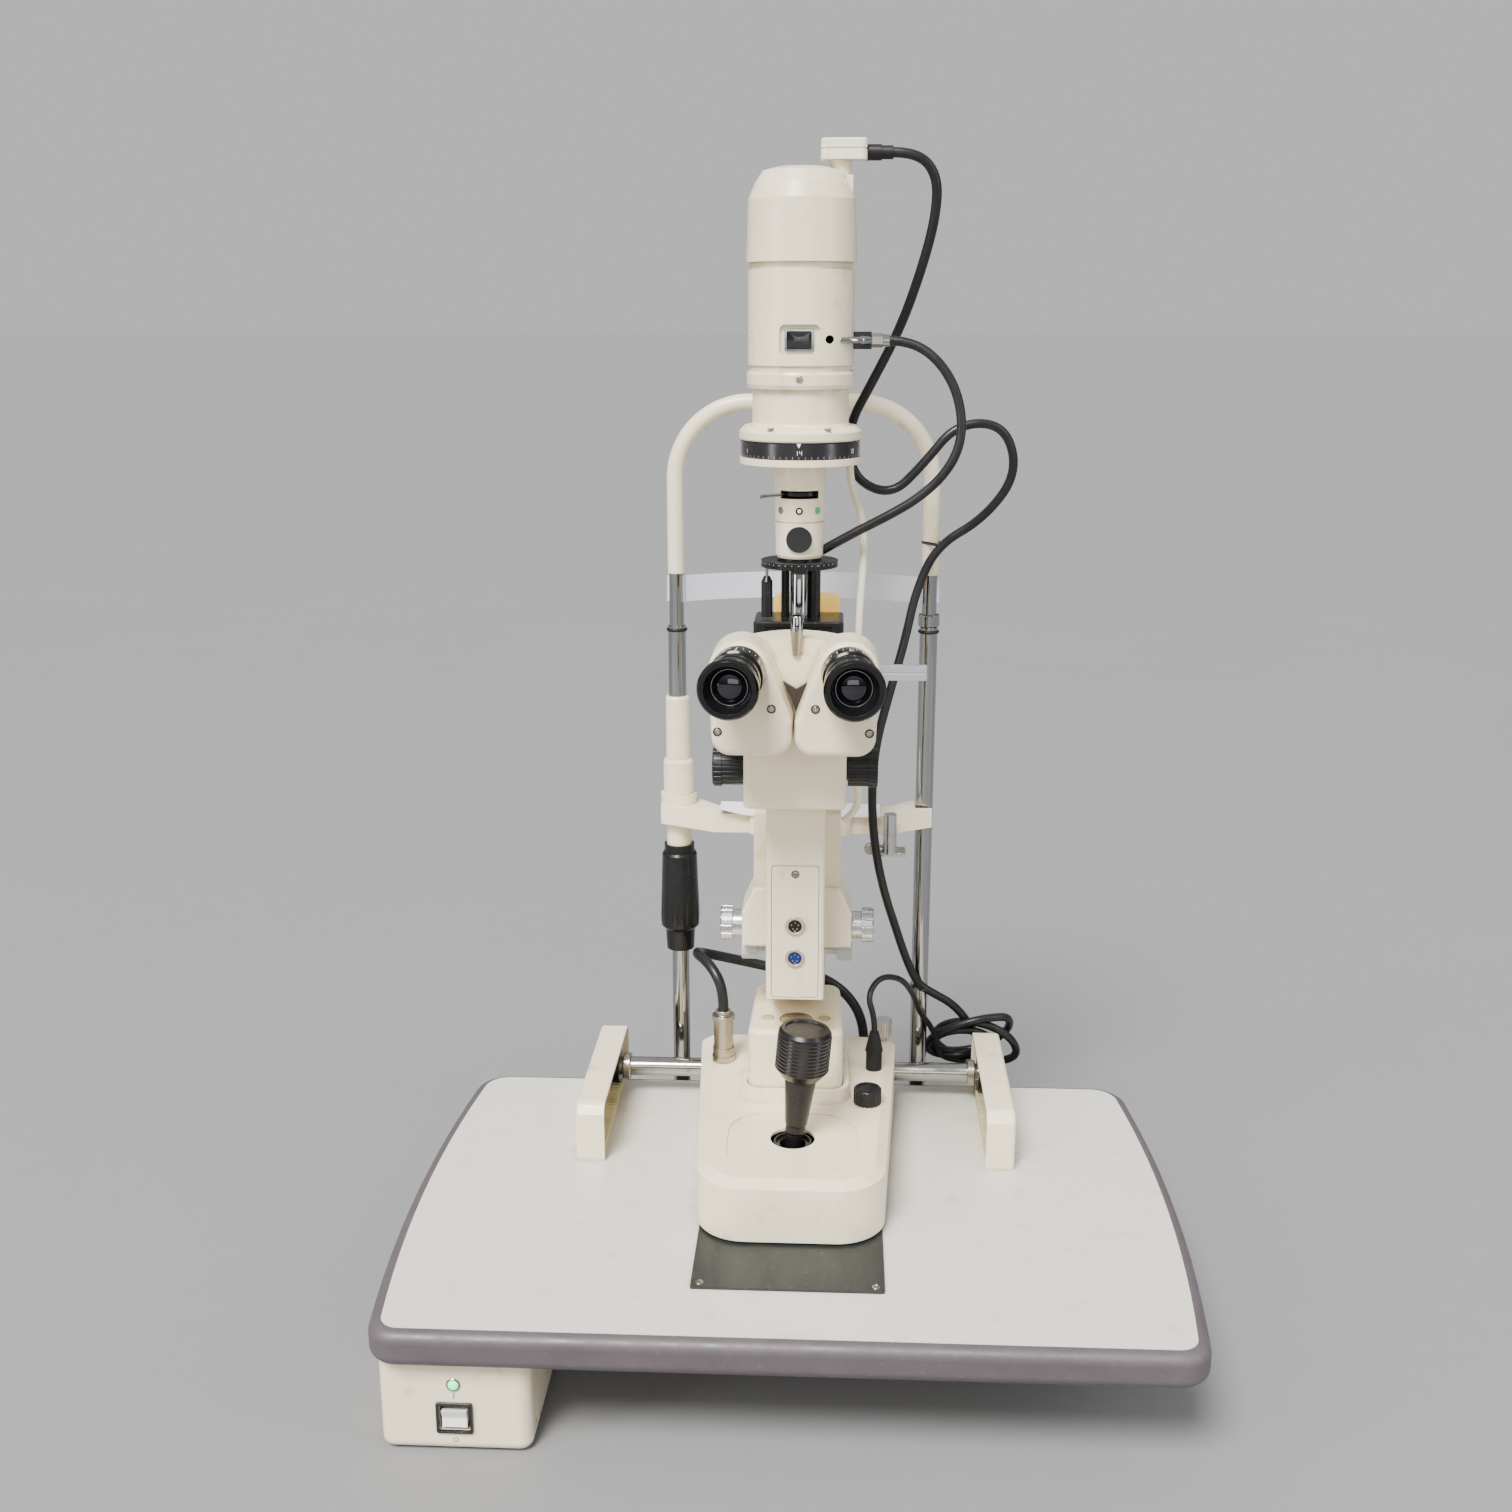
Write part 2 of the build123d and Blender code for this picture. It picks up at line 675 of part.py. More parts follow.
with BuildPart() as magnification_knobs:
    with BuildSketch(Plane.YZ.offset(-50)):
        with Locations((0, OPTIC_Z)):
            Circle(9)
    extrude(amount=100)
    for side in (-1, 1):
        knob_plane = on_axis(side * 37, 0, OPTIC_Z, (side, 0, 0))
        add(ribbed_disc(13.2, 24, 0.9, 15, 0).moved(knob_plane.location))
        rim_plane = on_axis(side * 51.5, 0, OPTIC_Z, (side, 0, 0))
        add(ribbed_disc(14.2, 24, 0.9, 6.5, 1).moved(rim_plane.location))
save(magnification_knobs, "magnification_knobs")


def eye_plane(side, along):
    """Plane square to an eyepiece axis, a distance out from the housing's face."""
    turn = radians(CONVERGE)
    out = (side * sin(turn), -cos(turn), 0)
    return Plane(
        origin=(side * EYE_X + out[0] * along, HOUSING_FRONT + out[1] * along, EYE_Z),
        x_dir=(cos(turn), side * sin(turn), 0),
        z_dir=out,
    )


for side, hand in ((-1, "left"), (1, "right")):
    with BuildPart() as prism_housing:
        with BuildSketch(Plane.XZ.offset(-HOUSING_BACK)):
            with BuildLine():
                for x, z, r in ((EYE_X, 436, 21), (42, 392, 13), (13.6, 392, 13), (2.6, 402, 2)):
                    CenterArc((side * x, z), r, 0, 360)
            make_hull()
        extrude(amount=HOUSING_BACK - HOUSING_FRONT)
        fillet(prism_housing.faces().sort_by(Axis.Y)[0].edges(), 5)
        with BuildSketch(Plane.XZ.offset(-HOUSING_BACK)):
            with Locations((side * PRISM_X, PRISM_Z)):
                Circle(6)
        extrude(amount=-10)
        with BuildSketch(eye_plane(side, -3)):
            Circle(16.8)
        extrude(amount=4.4)
        with BuildSketch(eye_plane(side, -12)):
            Circle(12 + RUNNING)
        extrude(amount=20, mode=Mode.SUBTRACT)
    save(prism_housing, f"prism_housing_{hand}")

    with BuildPart() as eyepiece:
        face = eye_plane(side, 0)
        profile = Plane(origin=face.origin, x_dir=face.x_dir, z_dir=(0, 0, 1))
        with BuildSketch(profile):
            with BuildLine():
                Polyline(
                    (0, 11),
                    (12, 11),
                    (12, -1.8),
                    (17.4, -1.8),
                    (18.2, -2.6),
                    (18.2, -20),
                    (16.6, -21),
                    (16.6, -27),
                    (17.6, -28),
                    (17.6, -33),
                    (16.8, -34),
                    (19.8, -50),
                    (19.8, -56),
                    (18.4, -58),
                    (15.6, -58),
                    (14.6, -52),
                    (11.4, -46),
                    (0, -44),
                    close=True,
                )
            make_face()
        revolve(axis=Axis(face.origin, face.z_dir))
    save(eyepiece, f"eyepiece_{hand}")

# ---------------------------------------------------------------- illumination arm and column
with BuildPart() as illumination_arm:
    with BuildSketch(Plane.XY.offset(ARM_STEP + 2)):
        with Locations((0, PIVOT_Y)):
            Circle(HUB_R)
    extrude(amount=40)
    with BuildSketch(Plane.YZ):
        with Locations((LAMP_Y, TILT_Z)):
            Circle(11)
        with Locations(((LAMP_Y + PIVOT_Y) / 2, 201)):
            Rectangle(PIVOT_Y - LAMP_Y, 22)
        with Locations((LAMP_Y, 191)):
            Rectangle(16, 26)
    extrude(amount=14, both=True)
    with BuildSketch(Plane.XY.offset(ARM_STEP)):
        with Locations((0, PIVOT_Y)):
            Circle(PIVOT_R + RUNNING)
    extrude(amount=50, mode=Mode.SUBTRACT)
    with BuildSketch(Plane.YZ.offset(-20)):
        with Locations((LAMP_Y, TILT_Z)):
            Circle(4 + RUNNING)
        with Locations((LAMP_Y, 185)):
            Circle(2.5)
    extrude(amount=40, mode=Mode.SUBTRACT)
save(illumination_arm, "illumination_arm")

with BuildPart() as centring_knobs:
    with BuildSketch(Plane.YZ.offset(-38)):
        with Locations((LAMP_Y, 185)):
            Circle(2.5)
    extrude(amount=76)
    for side in (-1, 1):
        knob_plane = on_axis(side * 31, LAMP_Y, 185, (side, 0, 0))
        add(ribbed_disc(7.1, 12, 0.8, 12, 0.8).moved(knob_plane.location))
save(centring_knobs, "centring_knobs")

with BuildPart() as illumination_column:
    with BuildSketch(Plane.XZ.offset(-66)):
        with BuildLine():
            Polyline(
                (-42, 194.5),
                (42, 194.5),
                (42, 222),
                (33, 242),
                (-33, 242),
                (-42, 222),
                close=True,
            )
        make_face()
    extrude(amount=-40)
    fillet(illumination_column.faces().sort_by(Axis.Y)[0].edges(), 2.5)
    with Locations((0, 88, (236 + COLUMN_TOP) / 2)):
        Box(66, 34, COLUMN_TOP - 236)
    for side in (-1, 1):
        with Locations((side * 28, 88, (COLUMN_TOP + YOKE_TOP) / 2)):
            Box(10, 20, YOKE_TOP - COLUMN_TOP)
    fillet(illumination_column.edges().filter_by(Axis.Z).group_by(Axis.X)[0], 2)
    fillet(illumination_column.edges().filter_by(Axis.Z).group_by(Axis.X)[-1], 2)
    with Locations((0, 90, 212)):
        Box(29, 60, 40, mode=Mode.SUBTRACT)
    with BuildSketch(Plane.YZ.offset(-50)):
        with Locations((LAMP_Y, TILT_Z)):
            Circle(4 + RUNNING)
    extrude(amount=100, mode=Mode.SUBTRACT)
    with Locations((0, LAMP_Y, COLUMN_TOP - 0.01)):
        Cylinder(5, 32, align=(Align.CENTER, Align.CENTER, Align.MIN))
save(illumination_column, "illumination_column")

with BuildPart() as slit_width_knobs:
    with BuildSketch(Plane.YZ.offset(-50)):
        with Locations((LAMP_Y, TILT_Z)):
            Circle(4)
    extrude(amount=100)
    for side in (-1, 1):
        neck = on_axis(side * 42.4, LAMP_Y, TILT_Z, (side, 0, 0))
        with BuildSketch(neck):
            Circle(10.5)
        extrude(amount=9)
        rim = on_axis(side * 50, LAMP_Y, TILT_Z, (side, 0, 0))
        add(ribbed_disc(13.7, 14, 1.4, 9, 1).moved(rim.location))
save(slit_width_knobs, "slit_width_knobs")

with BuildPart() as mirror:
    with BuildSketch(Plane.YZ):
        with BuildLine():
            Polyline(
                (LAMP_Y - 16, 332),
                (LAMP_Y + 16, 332),
                (LAMP_Y + 16, 340),
                (LAMP_Y - 12, 372),
                (LAMP_Y - 16, 372),
                close=True,
            )
        make_face()
    extrude(amount=7, both=True)
save(mirror, "mirror")

with BuildPart() as mirror_box:
    with Locations((0, 86, (YOKE_TOP + BOX_TOP) / 2)):
        Box(66, 44, BOX_TOP - YOKE_TOP)
    fillet(mirror_box.edges().filter_by(Axis.Z), 3)
    chamfer(mirror_box.faces().sort_by(Axis.Z)[-1].edges(), 1)
    with BuildSketch(Plane.XZ.offset(-64)):
        with Locations((0, 440)):
            Rectangle(50, 9)
    extrude(amount=-1.5, mode=Mode.SUBTRACT)
    with BuildSketch(Plane.XY.offset(YOKE_TOP)):
        with Locations((0, LAMP_Y + 2)):
            Circle(6)
    extrude(amount=20, mode=Mode.SUBTRACT)
    for x, r in ((-10.3, 3.1), (10.3, 5.4)):
        with Locations((x, 86, BOX_TOP - 0.01)):
            Cylinder(r, 38, align=(Align.CENTER, Align.CENTER, Align.MIN))
save(mirror_box, "mirror_box")

with BuildPart() as slit_rotation_disc:
    with BuildSketch(Plane.XY.offset(486.2)):
        with Locations((0, LAMP_Y)):
            Circle(28.2)
            with PolarLocations(28.6, 60):
                Circle(0.9, mode=Mode.SUBTRACT)
            Circle(16, mode=Mode.SUBTRACT)
    extrude(amount=4.6)
    with Locations((-23.5, LAMP_Y - 10, 486.3)):
        Cylinder(1.1, 12, align=(Align.CENTER, Align.CENTER, Align.MAX))
    with Locations((-23.5, LAMP_Y - 10, 476)):
        Cone(4.2, 2.2, 4, align=(Align.CENTER, Align.CENTER, Align.MIN))
    with Locations((-23.5, LAMP_Y - 10, 476)):
        Cylinder(4.2, 26, align=(Align.CENTER, Align.CENTER, Align.MAX))
save(slit_rotation_disc, "slit_rotation_disc")

with BuildPart() as lens_tube:
    with BuildSketch(Plane.XZ.offset(-LAMP_Y)):
        with BuildLine():
            Polyline(
                (0, 486),
                (15.6, 486),
                (15.6, 493),
                (16.6, 493),
                (17.4, 495),
                (18.3, 532),
                (18.3, 545),
                (18.7, 546),
                (18.9, 561),
                (0, 561),
                close=True,
            )
        make_face()
    revolve(axis=Axis((0, LAMP_Y, 0), (0, 0, 1)))
    with BuildSketch(Plane.XY.offset(536.6)):
        with Locations((0, LAMP_Y)):
            Circle(15)
        with BuildLine():
            Polyline(
                (0, LAMP_Y),
                (-30, LAMP_Y - 27),
                (0, LAMP_Y - 40),
                (30, LAMP_Y - 27),
                close=True,
            )
        make_face()
    extrude(amount=5.6, mode=Mode.SUBTRACT)
    with BuildSketch(Plane.XY.offset(486)):
        with Locations((0, LAMP_Y)):
            Circle(6)
    extrude(amount=80, mode=Mode.SUBTRACT)
    with BuildSketch(Plane.XZ.offset(-LAMP_Y)):
        with Locations((0, 507.5)):
            Circle(9.4)
    extrude(amount=19)
    with Locations((0, LAMP_Y, 561)):
        Cylinder(43.8, 5, align=(Align.CENTER, Align.CENTER, Align.MIN))
    with Locations((0, LAMP_Y, 566)):
        Cylinder(34, 12, align=(Align.CENTER, Align.CENTER, Align.MIN))
    with Locations((0, LAMP_Y, 560)):
        Cylinder(
            6, 20, align=(Align.CENTER, Align.CENTER, Align.MIN), mode=Mode.SUBTRACT
        )
save(lens_tube, "lens_tube")

LEVER_TURN = -131.0
with BuildPart() as filter_lever:
    with BuildSketch(Plane.XY.offset(538)):
        with Locations((0, LAMP_Y)):
            Circle(14.6)
            Circle(2, mode=Mode.SUBTRACT)
    extrude(amount=2.8)
    rod = (cos(radians(LEVER_TURN)), sin(radians(LEVER_TURN)), 0)
    with BuildSketch(on_axis(rod[0] * 12, LAMP_Y + rod[1] * 12, 539.4, rod)):
        Circle(1.35)
    extrude(amount=29)
save(filter_lever, "filter_lever")

# ---------------------------------------------------------------- lamp stack
with BuildPart() as slit_length_dial:
    with BuildSketch(Plane.XY.offset(566.3)):
        with Locations((0, LAMP_Y)):
            Circle(43)
            Circle(34.1, mode=Mode.SUBTRACT)
    extrude(amount=11.4)
    chamfer(slit_length_dial.edges().filter_by(GeomType.CIRCLE).group_by(SortBy.RADIUS)[-1], 0.6)
save(slit_length_dial, "slit_length_dial")

with BuildPart() as lamp_neck:
    with BuildSketch(Plane.XZ.offset(-LAMP_Y)):
        with BuildLine():
            Polyline(
                (30, 578),
                (43.2, 578),
                (44, 579),
                (44, 584),
                (40, 588),
                (36, 588),
                (34.6, 590),
                (34.4, 614),
                (37.4, 614),
                (38.6, 617),
                (38.6, 624),
                (37.6, 626),
                (30, 626),
                close=True,
            )
        make_face()
    revolve(axis=Axis((0, LAMP_Y, 0), (0, 0, 1)))
save(lamp_neck, "lamp_neck")

with BuildPart() as lamp_housing:
    with BuildSketch(Plane.XZ.offset(-LAMP_Y)):
        with BuildLine():
            Polyline(
                (33, 626),
                (36.4, 626),
                (36.4, 630),
                (37.8, 630),
                (37.8, 695),
                (36.2, 695),
                (36.2, 712),
                (33, 712),
                close=True,
            )
        make_face()
    revolve(axis=Axis((0, LAMP_Y, 0), (0, 0, 1)))
    with BuildSketch(Plane.XZ.offset(-LAMP_Y + 60)):
        with Locations((0, 647.5)):
            RectangleRounded(28, 21, 4)
    extrude(amount=-40, mode=Mode.SUBTRACT)
    with BuildSketch(Plane.XZ.offset(-LAMP_Y + 33.5)):
        with Locations((0, 647.5)):
            RectangleRounded(29.5, 22.5, 4)
    extrude(amount=-8)
    with BuildSketch(Plane.XZ.offset(-LAMP_Y + 33.6)):
        with Locations((-0.5, 647.5)):
            RectangleRounded(18, 13, 1.5)
    extrude(amount=-6, mode=Mode.SUBTRACT)
    with BuildSketch(Plane.XZ.offset(-LAMP_Y + 60)):
        with Locations((20.6, 648)):
            Circle(2.9)
    extrude(amount=-60, mode=Mode.SUBTRACT)
    with BuildSketch(on_axis(20, LAMP_Y, FIBRE_Z, (1, 0, 0))):
        Circle(3)
    extrude(amount=30, mode=Mode.SUBTRACT)
save(lamp_housing, "lamp_housing")

with BuildPart() as fibre_clamp:
    with Locations(on_axis(31, LAMP_Y, FIBRE_Z, (1, 0, 0))):
        Cylinder(3, 10, align=(Align.CENTER, Align.CENTER, Align.MIN))
    with BuildSketch(on_axis(37.8, LAMP_Y, FIBRE_Z, (1, 0, 0))):
        Rectangle(12, 14)
    extrude(amount=12.2)
    with BuildSketch(on_axis(50, LAMP_Y, FIBRE_Z, (1, 0, 0))):
        RegularPolygon(5, 6)
    extrude(amount=8)
save(fibre_clamp, "fibre_clamp")

with BuildPart() as lamp_bulb:
    with Locations((0, LAMP_Y, 640)):
        Cylinder(9, 14, align=(Align.CENTER, Align.CENTER, Align.MIN))
    with Locations((0, LAMP_Y, 654)):
        Cylinder(5.5, 18, align=(Align.CENTER, Align.CENTER, Align.MIN))
    fillet(lamp_bulb.edges().group_by(Axis.Z)[-1], 4)
    with Locations((0, LAMP_Y, 626)):
        Cylinder(33, 3, align=(Align.CENTER, Align.CENTER, Align.MIN))
        Cylinder(4, 15, align=(Align.CENTER, Align.CENTER, Align.MIN))
save(lamp_bulb, "lamp_bulb")

with BuildPart() as lamp_cap:
    with BuildSketch(Plane.XZ.offset(-LAMP_Y)):
        with BuildLine():
            Polyline(
                (36.6, 700),
                (39.0, 700),
                (37.6, 742),
                (33.5, 752),
                (27.5, 761),
                (18, 763.5),
                (0, 764),
                (0, 760),
                (18, 759.5),
                (26, 757.5),
                (31.5, 749),
                (35.2, 740),
                (36.6, 712),
                close=True,
            )
        make_face()
    revolve(axis=Axis((0, LAMP_Y, 0), (0, 0, 1)))
    with Locations((27, LAMP_Y, 768)):
        Cylinder(7.2, 22, align=(Align.CENTER, Align.CENTER, Align.MAX))
    with Locations((33, LAMP_Y - 4, 741)):
        Box(5, 7, 34)
    with Locations((0, LAMP_Y, 700)):
        Cylinder(33.5, 49, align=(Align.CENTER, Align.CENTER, Align.MIN), mode=Mode.SUBTRACT)
save(lamp_cap, "lamp_cap")

with BuildPart() as lamp_connector:
    with Locations((29, LAMP_Y, 775)):
        Box(32, 22, 14)
    fillet(lamp_connector.edges().filter_by(Axis.Z), 4)
    fillet(lamp_connector.faces().sort_by(Axis.Z)[-1].edges(), 1.5)
    with BuildSketch(Plane.XY.offset(774.3)):
        with Locations((29, LAMP_Y)):
            RectangleRounded(40, 30, 2)
            RectangleRounded(31, 21, 3.5, mode=Mode.SUBTRACT)
    extrude(amount=1.4, mode=Mode.SUBTRACT)
    with Locations(on_axis(44, LAMP_Y, 773, (1, 0, 0))):
        Cylinder(5.4, 11, align=(Align.CENTER, Align.CENTER, Align.MIN))
        Cylinder(4.6, 19, align=(Align.CENTER, Align.CENTER, Align.MIN))
save(lamp_connector, "lamp_connector")

LAMP_EXIT = (63, LAMP_Y, 773)
FIBRE_EXIT = (58, LAMP_Y, FIBRE_Z)

# ---------------------------------------------------------------- headrest
with BuildPart() as headrest_posts:
    for side in (-1, 1):
        with Locations((side * POST_X, POST_Y, -26)):
            Cylinder(POST_R, 446, align=(Align.CENTER, Align.CENTER, Align.MIN))
        with Locations((side * POST_X, POST_Y, 420)):
            Cylinder(POST_THIN_R, 62, align=(Align.CENTER, Align.CENTER, Align.MIN))
save(headrest_posts, "headrest_posts")

with BuildPart() as headrest_bracket:
    with Locations((0, 168, -6)):
        Box(200, 30, 12)
    for side in (-1, 1):
        with Locations((side * (POST_X + 1), 181, -9)):
            Box(30, 56, 18)
    fillet(headrest_bracket.edges().filter_by(Axis.Z).group_by(Axis.Y)[-1], 8)
    with Locations((-POST_X, POST_Y, -18), (POST_X, POST_Y, -18)):
        Cylinder(
            POST_R, 18, align=(Align.CENTER, Align.CENTER, Align.MIN), mode=Mode.SUBTRACT
        )
save(headrest_bracket, "headrest_bracket")

with BuildPart() as headrest_arch:
    with BuildLine() as bow:
        FilletPolyline(
            (-POST_X, POST_Y, 463),
            (-POST_X, POST_Y, ARCH_TOP),
            (POST_X, POST_Y, ARCH_TOP),
            (POST_X, POST_Y, 463),
            radius=60,
        )
    with BuildSketch(Plane(origin=bow.line @ 0, z_dir=bow.line % 0)):
        Circle(ARCH_R)
    sweep()
    with Locations((-POST_X, POST_Y, 463), (POST_X, POST_Y, 463)):
        Cylinder(
            POST_THIN_R, 19, align=(Align.CENTER, Align.CENTER, Align.MIN), mode=Mode.SUBTRACT
        )
save(headrest_arch, "headrest_arch")

with BuildPart() as forehead_band:
    with BuildSketch(Plane.XY.offset(440)):
        with BuildLine():
            ThreePointArc((-95.2, 200), (0, 226), (95.2, 200))
            Line((95.2, 200), (95.2, 198.4))
            ThreePointArc((95.2, 198.4), (0, 224.4), (-95.2, 198.4))
            Line((-95.2, 198.4), (-95.2, 200))
        make_face()
    extrude(amount=21)
    for side in (-1, 1):
        with BuildSketch(Plane.XY.offset(440)):
            with Locations((side * POST_X, POST_Y)):
                Circle(7.6)
                Circle(POST_THIN_R, mode=Mode.SUBTRACT)
            with Locations((side * (POST_X + 2.5), POST_Y - 8)):
                Rectangle(16.2, 14, mode=Mode.SUBTRACT)
        extrude(amount=21)
save(forehead_band, "forehead_band")

# ---------------------------------------------------------------- chin rest
with BuildPart() as chin_rest_frame:
    with BuildSketch(Plane.XY.offset(CHIN_Z)):
        with BuildLine():
            Polyline(
                (-116, 212),
                (-116, 188),
                (-70, 166),
                (70, 166),
                (108, 188),
                (108, 212),
                (92, 212),
                (60, 184),
                (-62, 184),
                (-88, 212),
                close=True,
            )
        make_face()
        with Locations((0, 178)):
            RectangleRounded(84, 36, 8)
    extrude(amount=16)
    with BuildSketch(Plane.XY.offset(CHIN_Z)):
        with Locations((-POST_X, POST_Y)):
            Circle(15)
    extrude(amount=24)
    with BuildSketch(Plane.XY.offset(CHIN_Z)):
        with Locations((-POST_X, POST_Y)):
            Circle(POST_R + 2.2)
        with Locations((POST_X, POST_Y), (POST_X, POST_Y + 10)):
            Rectangle(2 * POST_R + 0.8, 20)
    extrude(amount=24, mode=Mode.SUBTRACT)
    with BuildSketch(on_axis(0, 150, CHIN_Z + 40, (0, 1, 0))):
        Circle(30)
    extrude(amount=60, mode=Mode.SUBTRACT)
save(chin_rest_frame, "chin_rest_frame")

with BuildPart() as chin_rest_sleeve:
    with BuildSketch(Plane.XZ.offset(-POST_Y)):
        with BuildLine():
            bore = POST_R + 0.15 - POST_X
            Polyline(
                (bore, 186),
                (10.4 - POST_X, 186),
                (10.4 - POST_X, CHIN_Z),
                (POST_R + 2.2 - POST_X, CHIN_Z),
                (POST_R + 2.2 - POST_X, CHIN_Z + 24),
                (12.5 - POST_X, CHIN_Z + 24),
                (12.5 - POST_X, 306),
                (11.6 - POST_X, 308),
                (10.2 - POST_X, 309),
                (10.0 - POST_X, 360),
                (9.0 - POST_X, 362),
                (bore, 362),
                close=True,
            )
        make_face()
    revolve(axis=Axis((-POST_X, POST_Y, 0), (0, 0, 1)))
save(chin_rest_sleeve, "chin_rest_sleeve")

with BuildPart() as chin_rest_grip:
    with BuildSketch(Plane.XZ.offset(-POST_Y)):
        with BuildLine():
            Polyline(
                (POST_R + 0.3 - POST_X, 142),
                (11.6 - POST_X, 142),
                (12.4 - POST_X, 159),
                (16.0 - POST_X, 163),
                (16.4 - POST_X, 172),
                (14.6 - POST_X, 226),
                (13.4 - POST_X, 228),
                (12.6 - POST_X, 228),
                (12.6 - POST_X, 235),
                (10.8 - POST_X, 235),
                (10.8 - POST_X, 162),
                (POST_R + 0.3 - POST_X, 162),
                close=True,
            )
        make_face()
    revolve(axis=Axis((-POST_X, POST_Y, 0), (0, 0, 1)))
    with BuildSketch(Plane.XY.offset(166)):
        with Locations((-POST_X, POST_Y)):
            with PolarLocations(17.2, 16):
                Circle(1.6)
    extrude(amount=55, mode=Mode.SUBTRACT)
save(chin_rest_grip, "chin_rest_grip")

with BuildPart() as fixation_holder:
    with Locations((73, 168, 240)):
        Box(26, 18, 3)
    with Locations((73, 167, 241.5)):
        Cylinder(5.6, 13.5, align=(Align.CENTER, Align.CENTER, Align.MIN))
    with Locations((73, 159.6, 241.5)):
        Cylinder(5.2, 33, align=(Align.CENTER, Align.CENTER, Align.MIN))
save(fixation_holder, "fixation_holder")

# ---------------------------------------------------------------- power unit
UNIT_X = -219.0
UNIT_FRONT = -188.0
with BuildPart() as power_unit_case:
    with Locations((UNIT_X, UNIT_FRONT + 65, -35)):
        Box(102, 130, 70)
    fillet(power_unit_case.edges().filter_by(Axis.Z), 9)
    fillet(power_unit_case.faces().sort_by(Axis.Z)[0].edges(), 7)
    with Locations((UNIT_X, UNIT_FRONT + 65, -35)):
        Box(94, 122, 62, mode=Mode.SUBTRACT)
    with BuildSketch(Plane.XZ.offset(-UNIT_FRONT)):
        with Locations((UNIT_X, -44)):
            Rectangle(21, 19)
        with Locations((UNIT_X, -19)):
            Circle(3.6)
    extrude(amount=-8, mode=Mode.SUBTRACT)
save(power_unit_case, "power_unit_case")

with BuildPart() as power_switch_rocker:
    with BuildSketch(Plane.YZ.offset(UNIT_X)):
        with BuildLine():
            Polyline(
                (UNIT_FRONT - 3.4, -37.2),
                (UNIT_FRONT - 0.4, -44),
                (UNIT_FRONT - 1.0, -50.8),
                (UNIT_FRONT + 6, -48),
                (UNIT_FRONT + 6, -40),
                close=True,
            )
        make_face()
    extrude(amount=8.4, both=True)
save(power_switch_rocker, "power_switch_rocker")

# ---------------------------------------------------------------- cords
BEND = 0.45


def bend_radii(points):
    """Largest even arc at each corner that its two runs allow."""
    radii = []
    for before, here, after in zip(points, points[1:], points[2:]):
        run_in = Vector(*here) - Vector(*before)
        run_out = Vector(*after) - Vector(*here)
        turn = radians(run_in.get_angle(run_out))
        radii.append(BEND * min(run_in.length, run_out.length) / tan(turn / 2))
    return radii


def check_cord(name, points, radius, builder, length):
    """Print the smallest bend and how the volume compares with section times length."""
    radii = bend_radii(points)
    smallest = min(radii)
    print(name, [round(r / radius / 2, 1) for r in radii])
    ratio = builder.part.volume / (pi * radius**2 * length)
    print(f"{name}: length {length:.0f}, smallest bend {smallest:.1f}, volume ratio {ratio:.3f}")


LAMP_CORD_R = 3.5
FIBRE_R = 3.4
SUPPLY_R = 4.2
CONDUIT_R = 2.8
LEAD_R = 2.4

supply_route = [
    SUPPLY_EXIT,
    (-60, 118, 138),
    (-71, 129, 154),
    (-86, 152, 156),
    (-80, 178, 145),
    (-50, 190, 134),
    (-16, 192, 126),
    (24, 191, 120),
    (52, 191, 92),
    (57, 196, 50),
    (58, 201, 8),
    (42, 190, -28),
    (4, 172, -36),
    (-44, 150, -36),
    (-94, 122, -32),
    (-142, 84, -33),
    (-180, 34, -35),
    (-198, -16, -38),
    (-198, -58, -38),
]
fibre_route = [
    FIBRE_EXIT,
    (74, LAMP_Y, FIBRE_Z),
    (93, 82, 638),
    (108, 78, 619),
    (115, 75, 596),
    (114, 73, 573),
    (103, 73, 553),
    (84, 74, 536),
    (62, 76, 524),
    (40, 80, 514),
    (19, 84, 505),
]
conduit_route = [
    (36, 97, 561),
    (36, 97, 546),
    (46, 96, 522),
    (47.5, 95, 494),
    (45.5, 93, 464),
    (44, 91, 434),
    (43, 88, 402),
    (43.5, 87, 370),
    (43, 88, 338),
    (46, 88, 314),
    (45, 88, 298),
    (35, 88, 290),
]
lamp_route = [
    LAMP_EXIT,
    (80, LAMP_Y, 773),
    (94, 89, 758),
    (94, 97, 732),
    (86, 108, 698),
    (72, 122, 656),
    (52, 136, 616),
    (34, 146, 582),
    (38, 152, 544),
    (68, 154, 530),
    (92, 155, 554),
    (117, 158, 585),
    (154, 164, 584),
    (166, 172, 546),
    (142, 183, 510),
    (106, 187, 488),
    (90, 183, 452),
    (82, 172, 414),
    (70, 158, 374),
    (59, 148, 332),
    (57, 145, 288),
    (61, 150, 246),
    (70, 166, 206),
    (80, 180, 170),
    (90, 187, 138),
    (104, 189, 112),
    (120, 192, 90),
    (130, 200.5, 70),
]
lead_route = [
    PLUG_EXIT,
    (62, 107, 120),
    (56, 113, 136),
    (66, 126, 148),
    (84, 138, 142),
    (95, 152, 122),
    (100, 172, 98),
    (110, 190, 78),
    (127, 201.5, 64),
]


def tube(name, route, radius):
    """Round cord along straight runs joined by tangent arcs."""
    with BuildPart() as cord:
        with BuildLine() as path:
            FilletPolyline(*route, radius=bend_radii(route))
        with BuildSketch(Plane(origin=path.line @ 0, z_dir=path.line % 0)):
            Circle(radius)
        sweep()
    check_cord(name, route, radius, cord, path.wire().length)
    return cord


